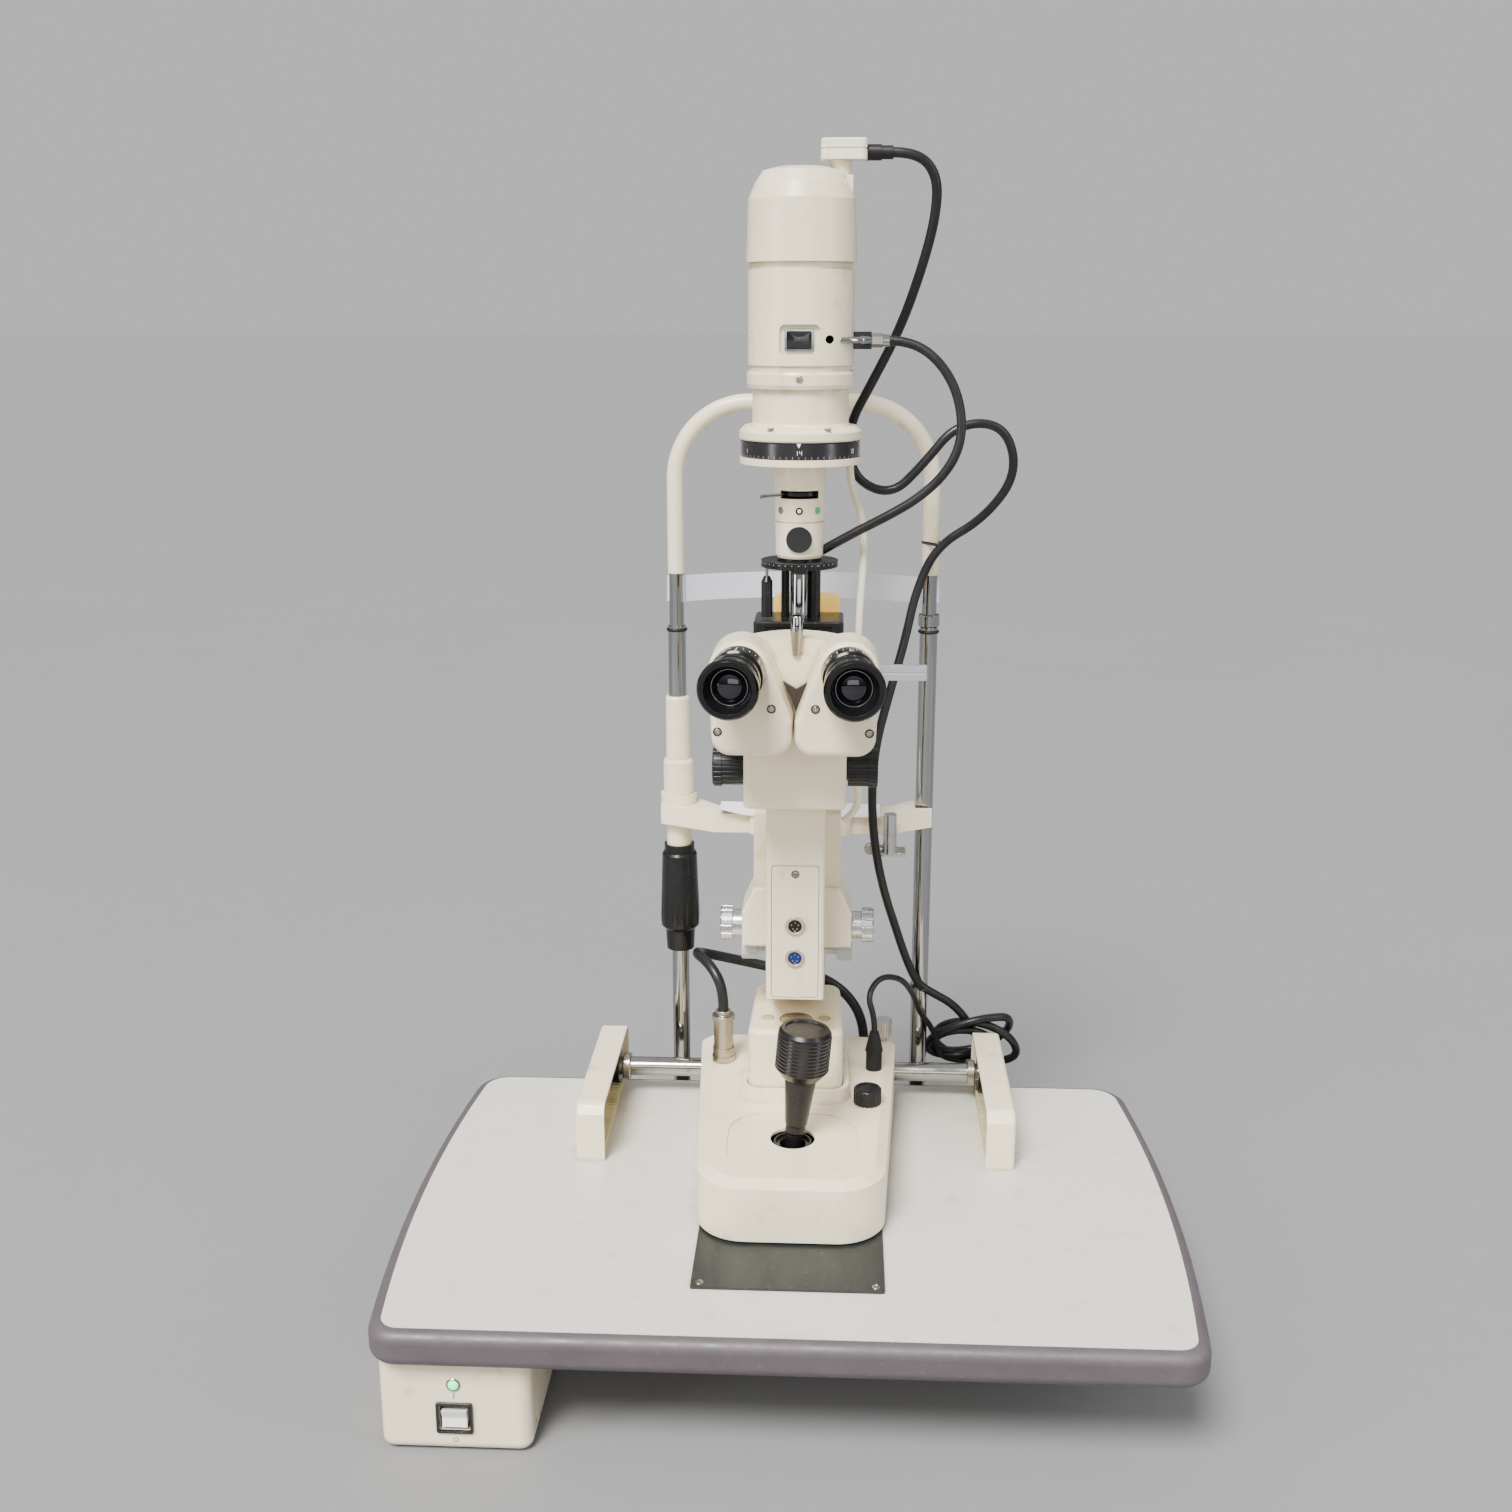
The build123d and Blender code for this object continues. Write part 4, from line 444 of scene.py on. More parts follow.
# ---------------------------------------------------------------- materials
# The dark corner tints given below are dirt mixed with painted shade; on the table top the tint also paints
# shade round the parts standing on it.
M = {
    "cream": surface(
        "cream_enamel", (0.82, 0.725, 0.525), 0.33, mottle=0.035, mottle_scale=7, rough_span=0.07,
        grain=0.05, grain_scale=700, dirt_and_shade=(0.3, 0.23, 0.14), dirt_and_shade_depth=5, edge_round=0.7,
        Coat_Weight=0.15, Coat_Roughness=0.25,
    ),
    "cream_plastic": surface(
        "cream_plastic", (0.84, 0.765, 0.6), 0.4, mottle=0.04, mottle_scale=12, grain=0.04, grain_scale=1100,
        dirt_and_shade=(0.33, 0.27, 0.18), dirt_and_shade_depth=3, edge_round=0.4,
    ),
    "laminate": surface(
        "table_laminate", (0.62, 0.6, 0.545), 0.36, mottle=0.03, mottle_scale=4, rough_span=0.1,
        rough_scale=26, grain=0.025, grain_scale=1300, speck=(0.16, 520.0, (0.5, 0.48, 0.43)),
        dirt_and_shade=(0.35, 0.31, 0.25), dirt_and_shade_depth=10,
    ),
    "edge": surface(
        "table_edge", (0.082, 0.068, 0.076), 0.46, mottle=0.12, mottle_scale=22, grain=0.1, grain_scale=420,
        speck=(0.25, 240.0, (0.15, 0.13, 0.14)), rough_span=0.1,
    ),
    "plate": surface(
        "glide_plate", (0.036, 0.039, 0.038), 0.42, metal=0.4, mottle=0.16, mottle_scale=10,
        stretch=(1, 0.16, 1), rough_span=0.12, rough_scale=90, grain=0.05, grain_scale=420,
        speck=(0.3, 210.0, (0.1, 0.104, 0.104)),
    ),
    "rack": surface(
        "rack_brass", (0.62, 0.56, 0.34), 0.36, metal=0.35, mottle=0.14, mottle_scale=40,
        dirt_and_shade=(0.07, 0.055, 0.03), dirt_and_shade_depth=4,
    ),
    "chrome": surface(
        "chrome", (0.35, 0.355, 0.36), 0.065, metal=1.0, mottle_scale=18, rough_span=0.035, rough_scale=140,
        grain=0.006, grain_scale=300,
    ),
    "axle": surface(
        "axle_steel", (0.36, 0.345, 0.32), 0.17, metal=1.0, mottle=0.16, mottle_scale=26,
        stretch=(0.35, 1, 1), rough_span=0.09, rough_scale=160, speck=(0.55, 90.0, (0.2, 0.155, 0.11)),
        grain=0.015, grain_scale=500,
    ),
    "nickel": surface(
        "nickel", (0.4, 0.375, 0.32), 0.27, metal=1.0, mottle=0.08, mottle_scale=60, grain=0.02,
        grain_scale=800, dirt_and_shade=(0.1, 0.08, 0.06), dirt_and_shade_depth=2,
    ),
    "alu": surface(
        "aluminium", (0.55, 0.55, 0.555), 0.27, metal=1.0, mottle_scale=50, stretch=(9, 1, 1),
        rough_span=0.08, rough_scale=120, grain=0.03, grain_scale=380, dirt_and_shade=(0.22, 0.21, 0.2),
        dirt_and_shade_depth=1.5, edge_round=0.3,
    ),
    "alu_bar": surface(
        "anodised_bar", (0.6, 0.61, 0.66), 0.3, metal=0.8, mottle=0.06, mottle_scale=30, stretch=(0.2, 1, 1),
        grain=0.02, grain_scale=600, edge_round=0.3,
    ),
    "dark_steel": surface(
        "dark_steel", (0.055, 0.057, 0.06), 0.38, metal=0.5, mottle=0.2, mottle_scale=60, grain=0.03,
        edge_round=0.3,
    ),
    "black": surface(
        "black_plastic", (0.0075, 0.0075, 0.0082), 0.29, mottle=0.25, mottle_scale=30, rough_span=0.08,
        grain=0.02, grain_scale=1400, speck=(0.1, 260.0, (0.06, 0.06, 0.06)), edge_round=0.35,
        Specular_IOR_Level=0.35,
    ),
    "gloss_black": surface(
        "gloss_black", (0.01, 0.01, 0.011), 0.11, mottle=0.3, mottle_scale=20, rough_span=0.04, grain=0.004,
        grain_scale=500, edge_round=0.3, Coat_Weight=0.3, Coat_Roughness=0.05,
    ),
    "eyepiece": surface(
        "eyepiece_black", (0.0045, 0.0045, 0.005), 0.19, mottle=0.3, mottle_scale=26, rough_span=0.05,
        grain=0.006, grain_scale=600, edge_round=0.35, Specular_IOR_Level=0.3,
    ),
    "grip": surface(
        "grip_black", (0.006, 0.006, 0.0065), 0.27, mottle=0.3, mottle_scale=24, rough_span=0.07, grain=0.02,
        edge_round=0.35, Specular_IOR_Level=0.35,
    ),
    "rubber": surface(
        "black_rubber", (0.0075, 0.0077, 0.008), 0.46, mottle=0.25, mottle_scale=26, rough_span=0.1,
        grain=0.05, grain_scale=1200, dirt_and_shade=(0.045, 0.043, 0.04), dirt_and_shade_depth=1.2, edge_round=0.3,
        Specular_IOR_Level=0.3,
    ),
    "cord": surface(
        "cord_jacket", (0.0085, 0.0085, 0.0095), 0.36, mottle=0.35, mottle_scale=38, rough_span=0.1,
        rough_scale=80, grain=0.05, grain_scale=700, speck=(0.22, 130.0, (0.035, 0.035, 0.036)),
        Specular_IOR_Level=0.35,
    ),
    "hose": surface(
        "cream_hose", (0.74, 0.68, 0.52), 0.42, mottle=0.07, mottle_scale=24, grain=0.04, grain_scale=600,
        Subsurface_Weight=0.08,
    ),
    "frosted": surface(
        "frosted_plastic", (0.66, 0.67, 0.68), 0.42, mottle=0.06, mottle_scale=60, grain=0.04,
        Transmission_Weight=0.45, edge_round=0.3,
    ),
    "band": surface(
        "forehead_band", (0.6, 0.6, 0.67), 0.42, mottle_scale=16, stretch=(1, 1, 0.4), grain=0.03,
        grain_scale=300, Subsurface_Weight=0.1,
    ),
    "white": surface("white_mark", (0.85, 0.85, 0.83), 0.45, mottle_scale=80),
    "white_plastic": surface(
        "white_plastic", (0.86, 0.86, 0.84), 0.25, mottle=0.02, mottle_scale=20, grain=0.01,
        dirt_and_shade=(0.35, 0.32, 0.28), dirt_and_shade_depth=1.5, edge_round=0.4,
    ),
    "blue": surface("blue_plastic", (0.003, 0.018, 0.13), 0.35, mottle=0.1, mottle_scale=90, edge_round=0.2),
    "green": surface("green_mark", (0.05, 0.42, 0.16), 0.4, mottle=0.1, mottle_scale=90),
    "grey": surface("grey_mark", (0.2, 0.18, 0.16), 0.4, mottle=0.18, mottle_scale=120, metal=0.4),
    # painted glow: the filter plate is given a faint amber light of its own, though it is no lamp
    "amber": surface(
        "amber_filter_painted_glow", (1.0, 0.7, 0.17), 0.25, mottle=0.1, mottle_scale=40, Transmission_Weight=0.3,
        Emission_Color=(1.0, 0.66, 0.14, 1.0), Emission_Strength=0.24,
    ),
    "brown": surface("brown_trim", (0.01, 0.005, 0.002), 0.5, mottle=0.25, mottle_scale=70, edge_round=0.3),
    "paper": surface(
        "chin_paper", (0.86, 0.87, 0.89), 0.75, mottle=0.03, mottle_scale=60, grain=0.1, grain_scale=260,
    ),
    "mirror": surface("silvered_mirror", (0.88, 0.89, 0.91), 0.03, metal=1.0, mottle=0.02, rough_span=0.01),
    "disc": surface(
        "brushed_disc", (0.62, 0.6, 0.55), 0.3, metal=1.0, mottle=0.1, mottle_scale=60, stretch=(1, 12, 1),
        grain=0.02, grain_scale=260,
    ),
    "beige": surface("beige_plug", (0.5, 0.34, 0.18), 0.42, mottle=0.08, mottle_scale=60, edge_round=0.3),
    "beige_nickel": surface(
        "beige_nickel", (0.72, 0.62, 0.5), 0.28, metal=0.85, mottle=0.1, mottle_scale=90, edge_round=0.3,
        dirt_and_shade=(0.16, 0.11, 0.07), dirt_and_shade_depth=1.5,
    ),
    "brass_pin": surface("brass_pin", (0.55, 0.42, 0.22), 0.3, metal=1.0, mottle=0.12, mottle_scale=120),
    "grey_print": surface("grey_print", (0.16, 0.16, 0.17), 0.5, mottle=0.12, mottle_scale=150),
    "lit_green": surface(
        "lit_green_lens", (0.1, 0.75, 0.22), 0.2, mottle=0.15, mottle_scale=200,
        Emission_Color=(0.1, 1.0, 0.25, 1.0), Emission_Strength=2.2,
    ),
    "optic": clear_glass("optic_glass", (0.003, 0.003, 0.006), 0.02, IOR=1.55, Coat_Weight=0.25),
    "bulb": clear_glass(
        "bulb_glass", (0.9, 0.9, 0.86), 0.03, IOR=1.47, Coat_Weight=1.0, Transmission_Weight=0.9,
    ),
    "dial": numbered_dial(),
}

FINISH = {
    "cream": (
        "rack_covers base_cover pedestal_block pivot_shaft microscope_arm arm_service_cover microscope_body "
        "prism_housing_left prism_housing_right illumination_arm illumination_column lens_tube lamp_neck "
        "lamp_housing lamp_cap headrest_arch chin_rest_frame chin_rest_sleeve power_unit_case"
    ),
    "cream_plastic": "lamp_connector",
    "laminate": "table_top",
    "edge": "table_edge_band",
    "plate": "glide_plate",
    "rack": "toothed_racks",
    "chrome": "headrest_posts elevation_guide",
    "axle": "axle",
    "nickel": "supply_connector fibre_clamp axle_bearings",
    "alu": "base_lock_knob slit_width_knobs fixation_holder",
    "dark_steel": "base_plate headrest_bracket",
    "black": (
        "axle_gears brightness_knob joystick_dish magnification_knobs slit_rotation_disc "
        "filter_lever mirror_box"
    ),
    "eyepiece": "eyepiece_left eyepiece_right",
    "grip": "joystick_stem joystick_grip chin_rest_grip",
    "rubber": "lamp_plug",
    "frosted": "centring_knobs",
    "band": "forehead_band",
    "alu_bar": "filter_bar",
    "mirror": "mirror",
    "bulb": "lamp_bulb",
    "dial": "slit_length_dial",
    "white_plastic": "power_switch_rocker",
}
for finish, names in FINISH.items():
    for name in names.split():
        slots = NODES[name].data.materials
        slots.clear()
        slots.append(M[finish])


def second_finish(name, finish, test):
    """Give the faces of a CAD node that pass a test another material."""
    data = NODES[name].data
    data.materials.append(M[finish])
    index = len(data.materials) - 1
    for face in data.polygons:
        c = face.center / MM
        if test(c, face.normal):
            face.material_index = index


def off_axis(c):
    """Distance from the lamp's upright axis."""
    return math.hypot(c.x, c.y - LAMP_Y)


def eye_axis(side):
    """Seat of an eyepiece, its outward direction and the one across it."""
    x, y, z = EYE_SEAT
    out = Vector((side * math.sin(EYE_TURN), -math.cos(EYE_TURN), 0))
    across = Vector((math.cos(EYE_TURN), side * math.sin(EYE_TURN), 0))
    return Vector((side * x, y, z)), out, across


for name, finish, test in (
    ("lamp_connector", "rubber", lambda c, n: c.x > 45.2 and abs(c.z - 773) < 6),
    ("lens_tube", "gloss_black", lambda c, n: c.y < 66.6 and math.hypot(c.x, c.z - 507.5) < 9.6),
    ("lens_tube", "black", lambda c, n: 536.5 < c.z < 542.3 and off_axis(c) < 18.1),
    ("lens_tube", "black", lambda c, n: c.z < 493.1),
    ("fibre_clamp", "black", lambda c, n: 37.9 < c.x < 50.05),
    ("filter_lever", "chrome", lambda c, n: off_axis(c) > 14.7),
    ("slit_rotation_disc", "chrome", lambda c, n: 480.1 < c.z < 486.1 and c.x < -20),
    (
        "lamp_housing", "black",
        lambda c, n: abs(c.x - 20.6) < 3.2 and abs(c.z - 648) < 3.2 and c.y < 60 and n.y > -0.8,
    ),
):
    second_finish(name, finish, test)
for side, hand in SIDES:
    eye, out, _ = eye_axis(side)
    second_finish(
        f"eyepiece_{hand}", "alu",
        lambda c, n, eye=eye, out=out: 1.2 < (c - eye).dot(out) < 6.4 and n.dot(out) < 0.9,
    )

# ---------------------------------------------------------------- cords
SUPPLY_ROUTE = [
    (-60, 118, 120), (-60, 118, 138), (-71, 129, 154), (-86, 152, 156), (-80, 178, 145), (-50, 190, 134),
    (-16, 192, 126), (24, 191, 120), (52, 191, 92), (57, 196, 50), (58, 201, 8), (42, 190, -28),
    (4, 172, -36), (-44, 150, -36), (-94, 122, -32), (-142, 84, -33), (-180, 34, -35), (-198, -16, -38),
    (-198, -58, -38),
]
FIBRE_ROUTE = [
    (58, 85, 647), (74, 85, 647), (93, 82, 638), (108, 78, 619), (115, 75, 596), (114, 73, 573),
    (103, 73, 553), (84, 74, 536), (62, 76, 523), (39, 80, 511), (14, 86, 496),
]
CONDUIT_ROUTE = [
    (36, 97, 561), (36, 97, 546), (46, 96, 522), (47.5, 95, 494), (45.5, 93, 464), (44, 91, 434),
    (43, 88, 402), (43.5, 87, 370), (43, 88, 338), (46, 88, 314), (45, 88, 298), (35, 88, 290),
]
LAMP_ROUTE = [
    (63, 85, 773), (80, 85, 773), (94, 89, 758), (94, 97, 732), (86, 108, 698), (72, 122, 656),
    (52, 136, 616), (34, 146, 582), (38, 152, 544), (68, 154, 530), (92, 155, 554), (117, 158, 585),
    (154, 164, 584), (166, 172, 546), (142, 183, 510), (106, 187, 488), (90, 183, 452), (82, 172, 414),
    (70, 158, 374), (59, 148, 332), (57, 142, 289), (61, 144, 248), (69, 157, 209), (80, 178, 170),
    (90, 187, 138), (100, 189, 116), (113, 192, 107), (131, 197, 95), (145, 204, 76),
]
LEAD_ROUTE = [
    (62, 107, 108), (62, 107, 120), (56, 113, 136), (66, 126, 148), (84, 138, 142), (95, 152, 122),
    (101, 172, 98), (111, 188, 80), (118, 204, 60), (121, 220, 40), (130, 228.5, 29), (146, 229, 27.6),
]
# where the routes are cut, in millimetres or as shares of a stretch
TIE_AT_ARCH, TIE_AT_POST = (108, 187, 490), (100, 189, 116)
UPPER_SHARES, LOWER_SHARES = (0.0, 0.26, 0.62, 0.74, 0.87), (0.0, 0.25, 0.5, 0.75, 1.0)
LEAD_CUTS, SUPPLY_CUTS = ((86, 141, 138), (98, 167, 106)), ((-16, 192, 126), (57, 198, 40))
# the body under the last point of each stretch, then the one under its first
LAMP_CHAIN = [
    ("illumination_carrier", "illumination"), ("pedestal", "illumination_carrier"), ("base", "pedestal"),
    ("cross_slide", "base"), ("table", "cross_slide"),
    ("cross_slide", "table"), ("base", "cross_slide"), ("cross_slide", "base"), ("table", "cross_slide"),
]
LEAD_CHAIN = [("base",), ("cross_slide", "base"), ("table", "cross_slide")]
SUPPLY_CHAIN = [("cross_slide", "base"), ("table", "cross_slide"), ("table",)]
LAMP_RADIUS, LEAD_RADIUS, SUPPLY_RADIUS, FIBRE_RADIUS, CONDUIT_RADIUS = 3.5, 2.4, 4.2, 3.4, 2.8

# successive turns of the coil: reach, tilt and lean in degrees, and the place of its centre
COIL_TURNS = [
    (28, 28, 0, 127, 214, 52), (34, 44, 26, 152, 214, 60), (28, 40, -6, 141, 217, 50),
    (36, 30, -26, 155, 215, 54), (27, 42, 6, 141, 214, 50), (30, 40, 8, 145, 213, 52),
]
COIL_OVAL, COIL_COUNT, COIL_FIRST = 0.82, 3.24, math.radians(15)
COIL_STEPS = 12


def coil_points():
    """Loose turns hung on edge, tops tipped forward: each has its own size, lean and place."""
    points = []
    for k in range(int(COIL_COUNT * COIL_STEPS) + 1):
        share = k / COIL_STEPS
        low = min(int(share), len(COIL_TURNS) - 2)
        part = share - low
        reach, tilt, lean, x, y, z = (
            a * (1 - part) + b * part for a, b in zip(COIL_TURNS[low], COIL_TURNS[low + 1])
        )
        a, tilt, lean = COIL_FIRST - TURN * share, math.radians(tilt), math.radians(lean)
        across, along = reach * math.cos(a), reach * COIL_OVAL * math.sin(a)
        depth, height = along * math.sin(tilt), along * math.cos(tilt)
        points.append((
            x + across * math.cos(lean) - height * math.sin(lean), y - depth,
            z + across * math.sin(lean) + height * math.cos(lean),
        ))
    return points


def nurbs_line(name, route):
    """Points along the route's smooth line, in metres."""
    data = bpy.data.curves.new(name, "CURVE")
    data.dimensions = "3D"
    data.resolution_u = 10
    spline = data.splines.new("NURBS")
    spline.points.add(len(route) - 1)
    for point, (x, y, z) in zip(spline.points, route):
        point.co = (x * MM, y * MM, z * MM, 1.0)
    spline.order_u = 3
    spline.use_endpoint_u = True
    carrier = bpy.data.objects.new(name, data)
    mesh = bpy.data.meshes.new_from_object(carrier)
    line = [v.co.copy() for v in mesh.vertices]
    bpy.data.meshes.remove(mesh)
    bpy.data.objects.remove(carrier)
    bpy.data.curves.remove(data)
    return line


def frames(line):
    """Each point with two normals, turning as little as possible."""
    out = []
    normal = None
    for k, point in enumerate(line):
        ahead = line[min(k + 1, len(line) - 1)] - line[max(k - 1, 0)]
        tangent = ahead.normalized()
        if normal is None:
            normal = basis(tangent)[0]
        normal = (normal - tangent * normal.dot(tangent)).normalized()
        out.append((point, normal.copy(), tangent.cross(normal)))
    return out


def tube_mesh(rings, radius, seg=20):
    """Closed tube round the frames of a line, in metres."""
    bm = bmesh.new()
    loops = [[bm.verts.new(p) for p in circle_at(point, u, v, radius, seg)] for point, u, v in rings]
    for a, b in zip(loops, loops[1:]):
        bridge(bm, a, b)
    for cap in (loops[0], loops[-1]):
        bm.faces.new(cap)
    return bm


def nearest_index(line, place):
    target = Vector(place) * MM
    return min(range(len(line)), key=lambda k: (line[k] - target).length)


def cord_piece(name, rings, first, last, radius, finish, slot, replaces, bodies, **facts):
    """One stretch of a cord between two ring indices, riding on one body, or fixed in place on no body when
    it runs between two.
    """
    part = rings[first:last + 1]
    obj = mesh_object(tube_mesh(part, radius * MM), name, [M[finish]], 60)
    if len(bodies) == 1:
        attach(obj, bodies[0])
    else:
        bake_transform(obj)
    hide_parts(*replaces)


def black_cord(name, rings, cuts, chain, radius, node, lay):
    """A cord cut into stretches, one for each entry of its chain of bodies."""
    for number, (bodies, first, last) in enumerate(zip(chain, cuts, cuts[1:])):
        cord_piece(
            f"{name}_part_{number}", rings, first, last, radius, "cord", "cord_rubber",
            [node], bodies, far_end="object", stiffness="medium", lay=lay,
        )


lamp_line = nurbs_line("lamp_cord_route", LAMP_ROUTE + coil_points())
lamp_rings = frames(lamp_line)
tie_at_arch, tie_at_post = nearest_index(lamp_line, TIE_AT_ARCH), nearest_index(lamp_line, TIE_AT_POST)
lamp_cuts = [round(tie_at_arch * share) for share in UPPER_SHARES]
lamp_cuts += [round(tie_at_arch + (tie_at_post - tie_at_arch) * share) for share in LOWER_SHARES]
black_cord("lamp_cord", lamp_rings, lamp_cuts, LAMP_CHAIN, LAMP_RADIUS, "lamp_cord", "hanging")
cord_piece(
    "lamp_cord_part_9", lamp_rings, tie_at_post, len(lamp_rings) - 1, LAMP_RADIUS, "cord", "cord_rubber",
    ["lamp_cord", "lamp_cord_coil"], ["table"], far_end="object", stiffness="medium", lay="coiled",
)

for name, route, places, chain, radius, node, lay in (
    ("lamp_lead", LEAD_ROUTE, LEAD_CUTS, LEAD_CHAIN, LEAD_RADIUS, "lamp_cord", "loose"),
    ("supply_cord", SUPPLY_ROUTE, SUPPLY_CUTS, SUPPLY_CHAIN, SUPPLY_RADIUS, "supply_cord", "hanging"),
):
    line = nurbs_line(name + "_route", route)
    cuts = [0] + [nearest_index(line, p) for p in places] + [len(line) - 1]
    black_cord(name, frames(line), cuts, chain, radius, node, lay)

for name, node, route, radius, finish, slot in (
    ("background_fibre_tube", "background_fibre", FIBRE_ROUTE, FIBRE_RADIUS, "cord", "cord_rubber"),
    ("conduit_tube", "conduit", CONDUIT_ROUTE, CONDUIT_RADIUS, "hose", "cream_hose"),
):
    rings = frames(nurbs_line(name + "_route", route))
    cord_piece(
        name, rings, 0, len(rings) - 1, radius, finish, slot, [node], ["illumination"],
        far_end="object", stiffness="medium", lay="hanging",
    )


# ---------------------------------------------------------------- small parts on the frame
def trim(name, body, finishes, build, smooth=40.0):
    """One piece: build fills its mesh, finishes are its materials in order."""
    bm = bmesh.new()
    build(bm)
    obj = mesh_object(bm, name, [M[f] for f in finishes.split()], smooth)
    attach(obj, body)


def glide_screws(bm):
    for number, (x, y) in enumerate(((-60, -133), (60, -133), (-60, 144), (60, 144))):
        cross_screw(bm, (x, y, TABLE_SCREW_Z), UP, 2.9, 0.6, turn=0.4 + number)


def pedestal_plugs(bm):
    disc = [(0, 0), (12.5, 0), (12.5, 1.1), (12.1, 1.4), (0, 1.4)]
    lathe(bm, disc, (0, 72, PEDESTAL_TOP), UP, seg=64)
    for x in (-22, 22):
        crowned(bm, circle(5), (x, 74, PEDESTAL_TOP), LEVEL, 1.4, 0.7, mat=1)


def light_switch(bm):
    plate = (-0.5, 51.5, 647.5)
    frame_ring(bm, rounded(20.6, 15.2, 2), rounded(17, 12, 1.2), plate, *FRONT, 1.3)
    crowned(bm, rounded(16.6, 11.6, 1.2), plate, FRONT, 0.7, 1.1, mat=1)


def fibre_ferrule(bm):
    sleeve = [(0, 0), (1.7, 0), (2.2, 0.6), (2.2, 20), (2.8, 20.3), (2.8, 27), (0, 27)]
    lathe(bm, sleeve, (27, 60, 647.3), (0.78, 0.62, 0))
    ring(bm, (58, LAMP_Y, 647), (1, 0, 0), 4.3, 3.0, 0, 5)


def power_lamp(bm):
    at = (POWER_X, POWER_FRONT, -19)
    ring(bm, at, TOWARDS_EXAMINER, 4.7, 3.4, -1.5, 1.0, ease=0.25)
    dome = [(0, -1.5), (3.4, -1.5), (3.4, 0.9), (2.8, 2.0), (1.6, 2.8), (0, 3.1)]
    lathe(bm, dome, at, TOWARDS_EXAMINER, mat=1)


def power_switch_bezel(bm):
    frame_ring(bm, rounded(25, 23, 1.6), rounded(20.6, 18.8, 0.8), (POWER_X, POWER_FRONT, -44), *FRONT, 1.7)


def power_marks(bm):
    """Circle under the switch and bar over it."""
    frame_ring(bm, circle(1.9), circle(1.3), (POWER_X, POWER_FRONT, -61), *FRONT, 0.12)
    prism(bm, rounded(0.7, 4.6, 0.2), (POWER_X, POWER_FRONT, -27.5), *FRONT, 0.12, bevel=0.03)


def arm_sockets(bm):
    """Two sockets with a black and a blue insert, five pins and a key each."""
    plug = [(0, -5), (5.0, -5), (5.0, -0.4), (4.5, 0.2), (0, 0.2)]
    pin = [(0, 0), (0.55, 0), (0.55, 0.5), (0, 0.7)]
    pins, pin_circle = 5, 2.7
    for z, insert in ((230, 1), (205, 2)):
        ring(bm, (0, ARM_FRONT, z), TOWARDS_EXAMINER, 7.3, 5.0, -6, 1.5)
        lathe(bm, plug, (0, ARM_FRONT, z), TOWARDS_EXAMINER, mat=insert)
        for k in range(pins):
            a = math.radians(90 + 360 / pins * k)
            place = (pin_circle * math.cos(a), ARM_FRONT - 0.2, z + pin_circle * math.sin(a))
            lathe(bm, pin, place, TOWARDS_EXAMINER, seg=12, mat=3)
        box(bm, (0, ARM_FRONT - 0.4, z - 3.9), (1.5, 1.0, 1.1), bevel=0.15, mat=3)


def cover_screw(bm):
    at = (0, ARM_FRONT, 270)
    ring(bm, at, TOWARDS_EXAMINER, 3.0, 2.3, -0.2, 0.25, ease=0.08)
    cross_screw(bm, at, TOWARDS_EXAMINER, 2.3, 0.9, turn=0.0, mat=1)


def objective_lens(bm):
    at, to_patient = (0, 30, 356), (0, 1, 0)
    mount = [(23.8, 0.1), (23.8, 11.4), (23.0, 12.0), (21.6, 10.5), (20.2, 6.5), (19.6, 3.6), (19.6, 0.1)]
    lathe(bm, mount, at, to_patient, seg=64, closed=True)
    glass = [
        (0, 1.2), (19.6, 1.2), (19.6, 3.2), (16.5, 4.9), (12.5, 6.3), (8.0, 7.3), (4.0, 7.8), (0, 8.0),
    ]
    lathe(bm, glass, at, to_patient, seg=64, mat=1)


def post_rings(bm):
    """Rubber ring on each post, and the right post's collar."""
    for x in (-POST_X, POST_X):
        torus(bm, (x, POST_Y, 417), UP, 7.1, 1.5)
    ring(bm, (POST_X, POST_Y, 0), UP, 8.6, 7.3, 421, 431, ease=0.8, mat=1)


def yoke_rod(bm):
    lathe(bm, [(0, 448), (6.5, 448), (6.5, 484.5), (5.5, 486), (0, 486)], (0, 72, 0), UP)


def locating_peg(bm):
    """Peg with a bright head."""
    foot = (1, -23.5, 0)
    lathe(bm, [(0, 441), (3.0, 441), (3.4, 446), (4.5, 458), (0, 458)], foot, UP)
    lathe(bm, [(0, 458), (4.1, 458), (4.1, 466.8), (3.4, 468), (0, 468)], foot, UP, mat=1)


def amber_plate(bm):
    """Filter plate behind the upper rods, with round upper corners, on two brackets."""
    outline = [(-25, -15.5), (25, -15.5)] + corner(19, 9.5, 6, 0) + corner(-19, 9.5, 6, 90)
    prism(bm, outline, (5, 122, 445), *FRONT, 3, bevel=0.6)
    for x in (-12, 20):
        box(bm, (x, 114.8, 440), (6, 15, 3.4), mat=1)


def housing_wedge(bm):
    """Folded V plate between the prism housings."""
    for side, _ in SIDES:
        corners = [(1, -28.5, 418), (1, -33.5, 404), (1 + side * 9, -31, 424)]
        front = [bm.verts.new(Vector(c) * MM) for c in corners]
        rear = [bm.verts.new((Vector(c) + Vector((0, 4, 0))) * MM) for c in corners]
        bm.faces.new(front)
        bm.faces.new(rear[::-1])
        bridge(bm, front, rear)


def prism_screws(side):
    def build(bm):
        for x, z, turn in ((14.6, 412, 0.2), (50.5, 396, 0.7)):
            at = (side * x, PRISM_FRONT, z)
            ring(bm, at, TOWARDS_EXAMINER, 3.1, 2.2, 0, 0.7, ease=0.2)
            cross_screw(bm, at, TOWARDS_EXAMINER, 2.2, 0.75, turn, mat=1)
    return build


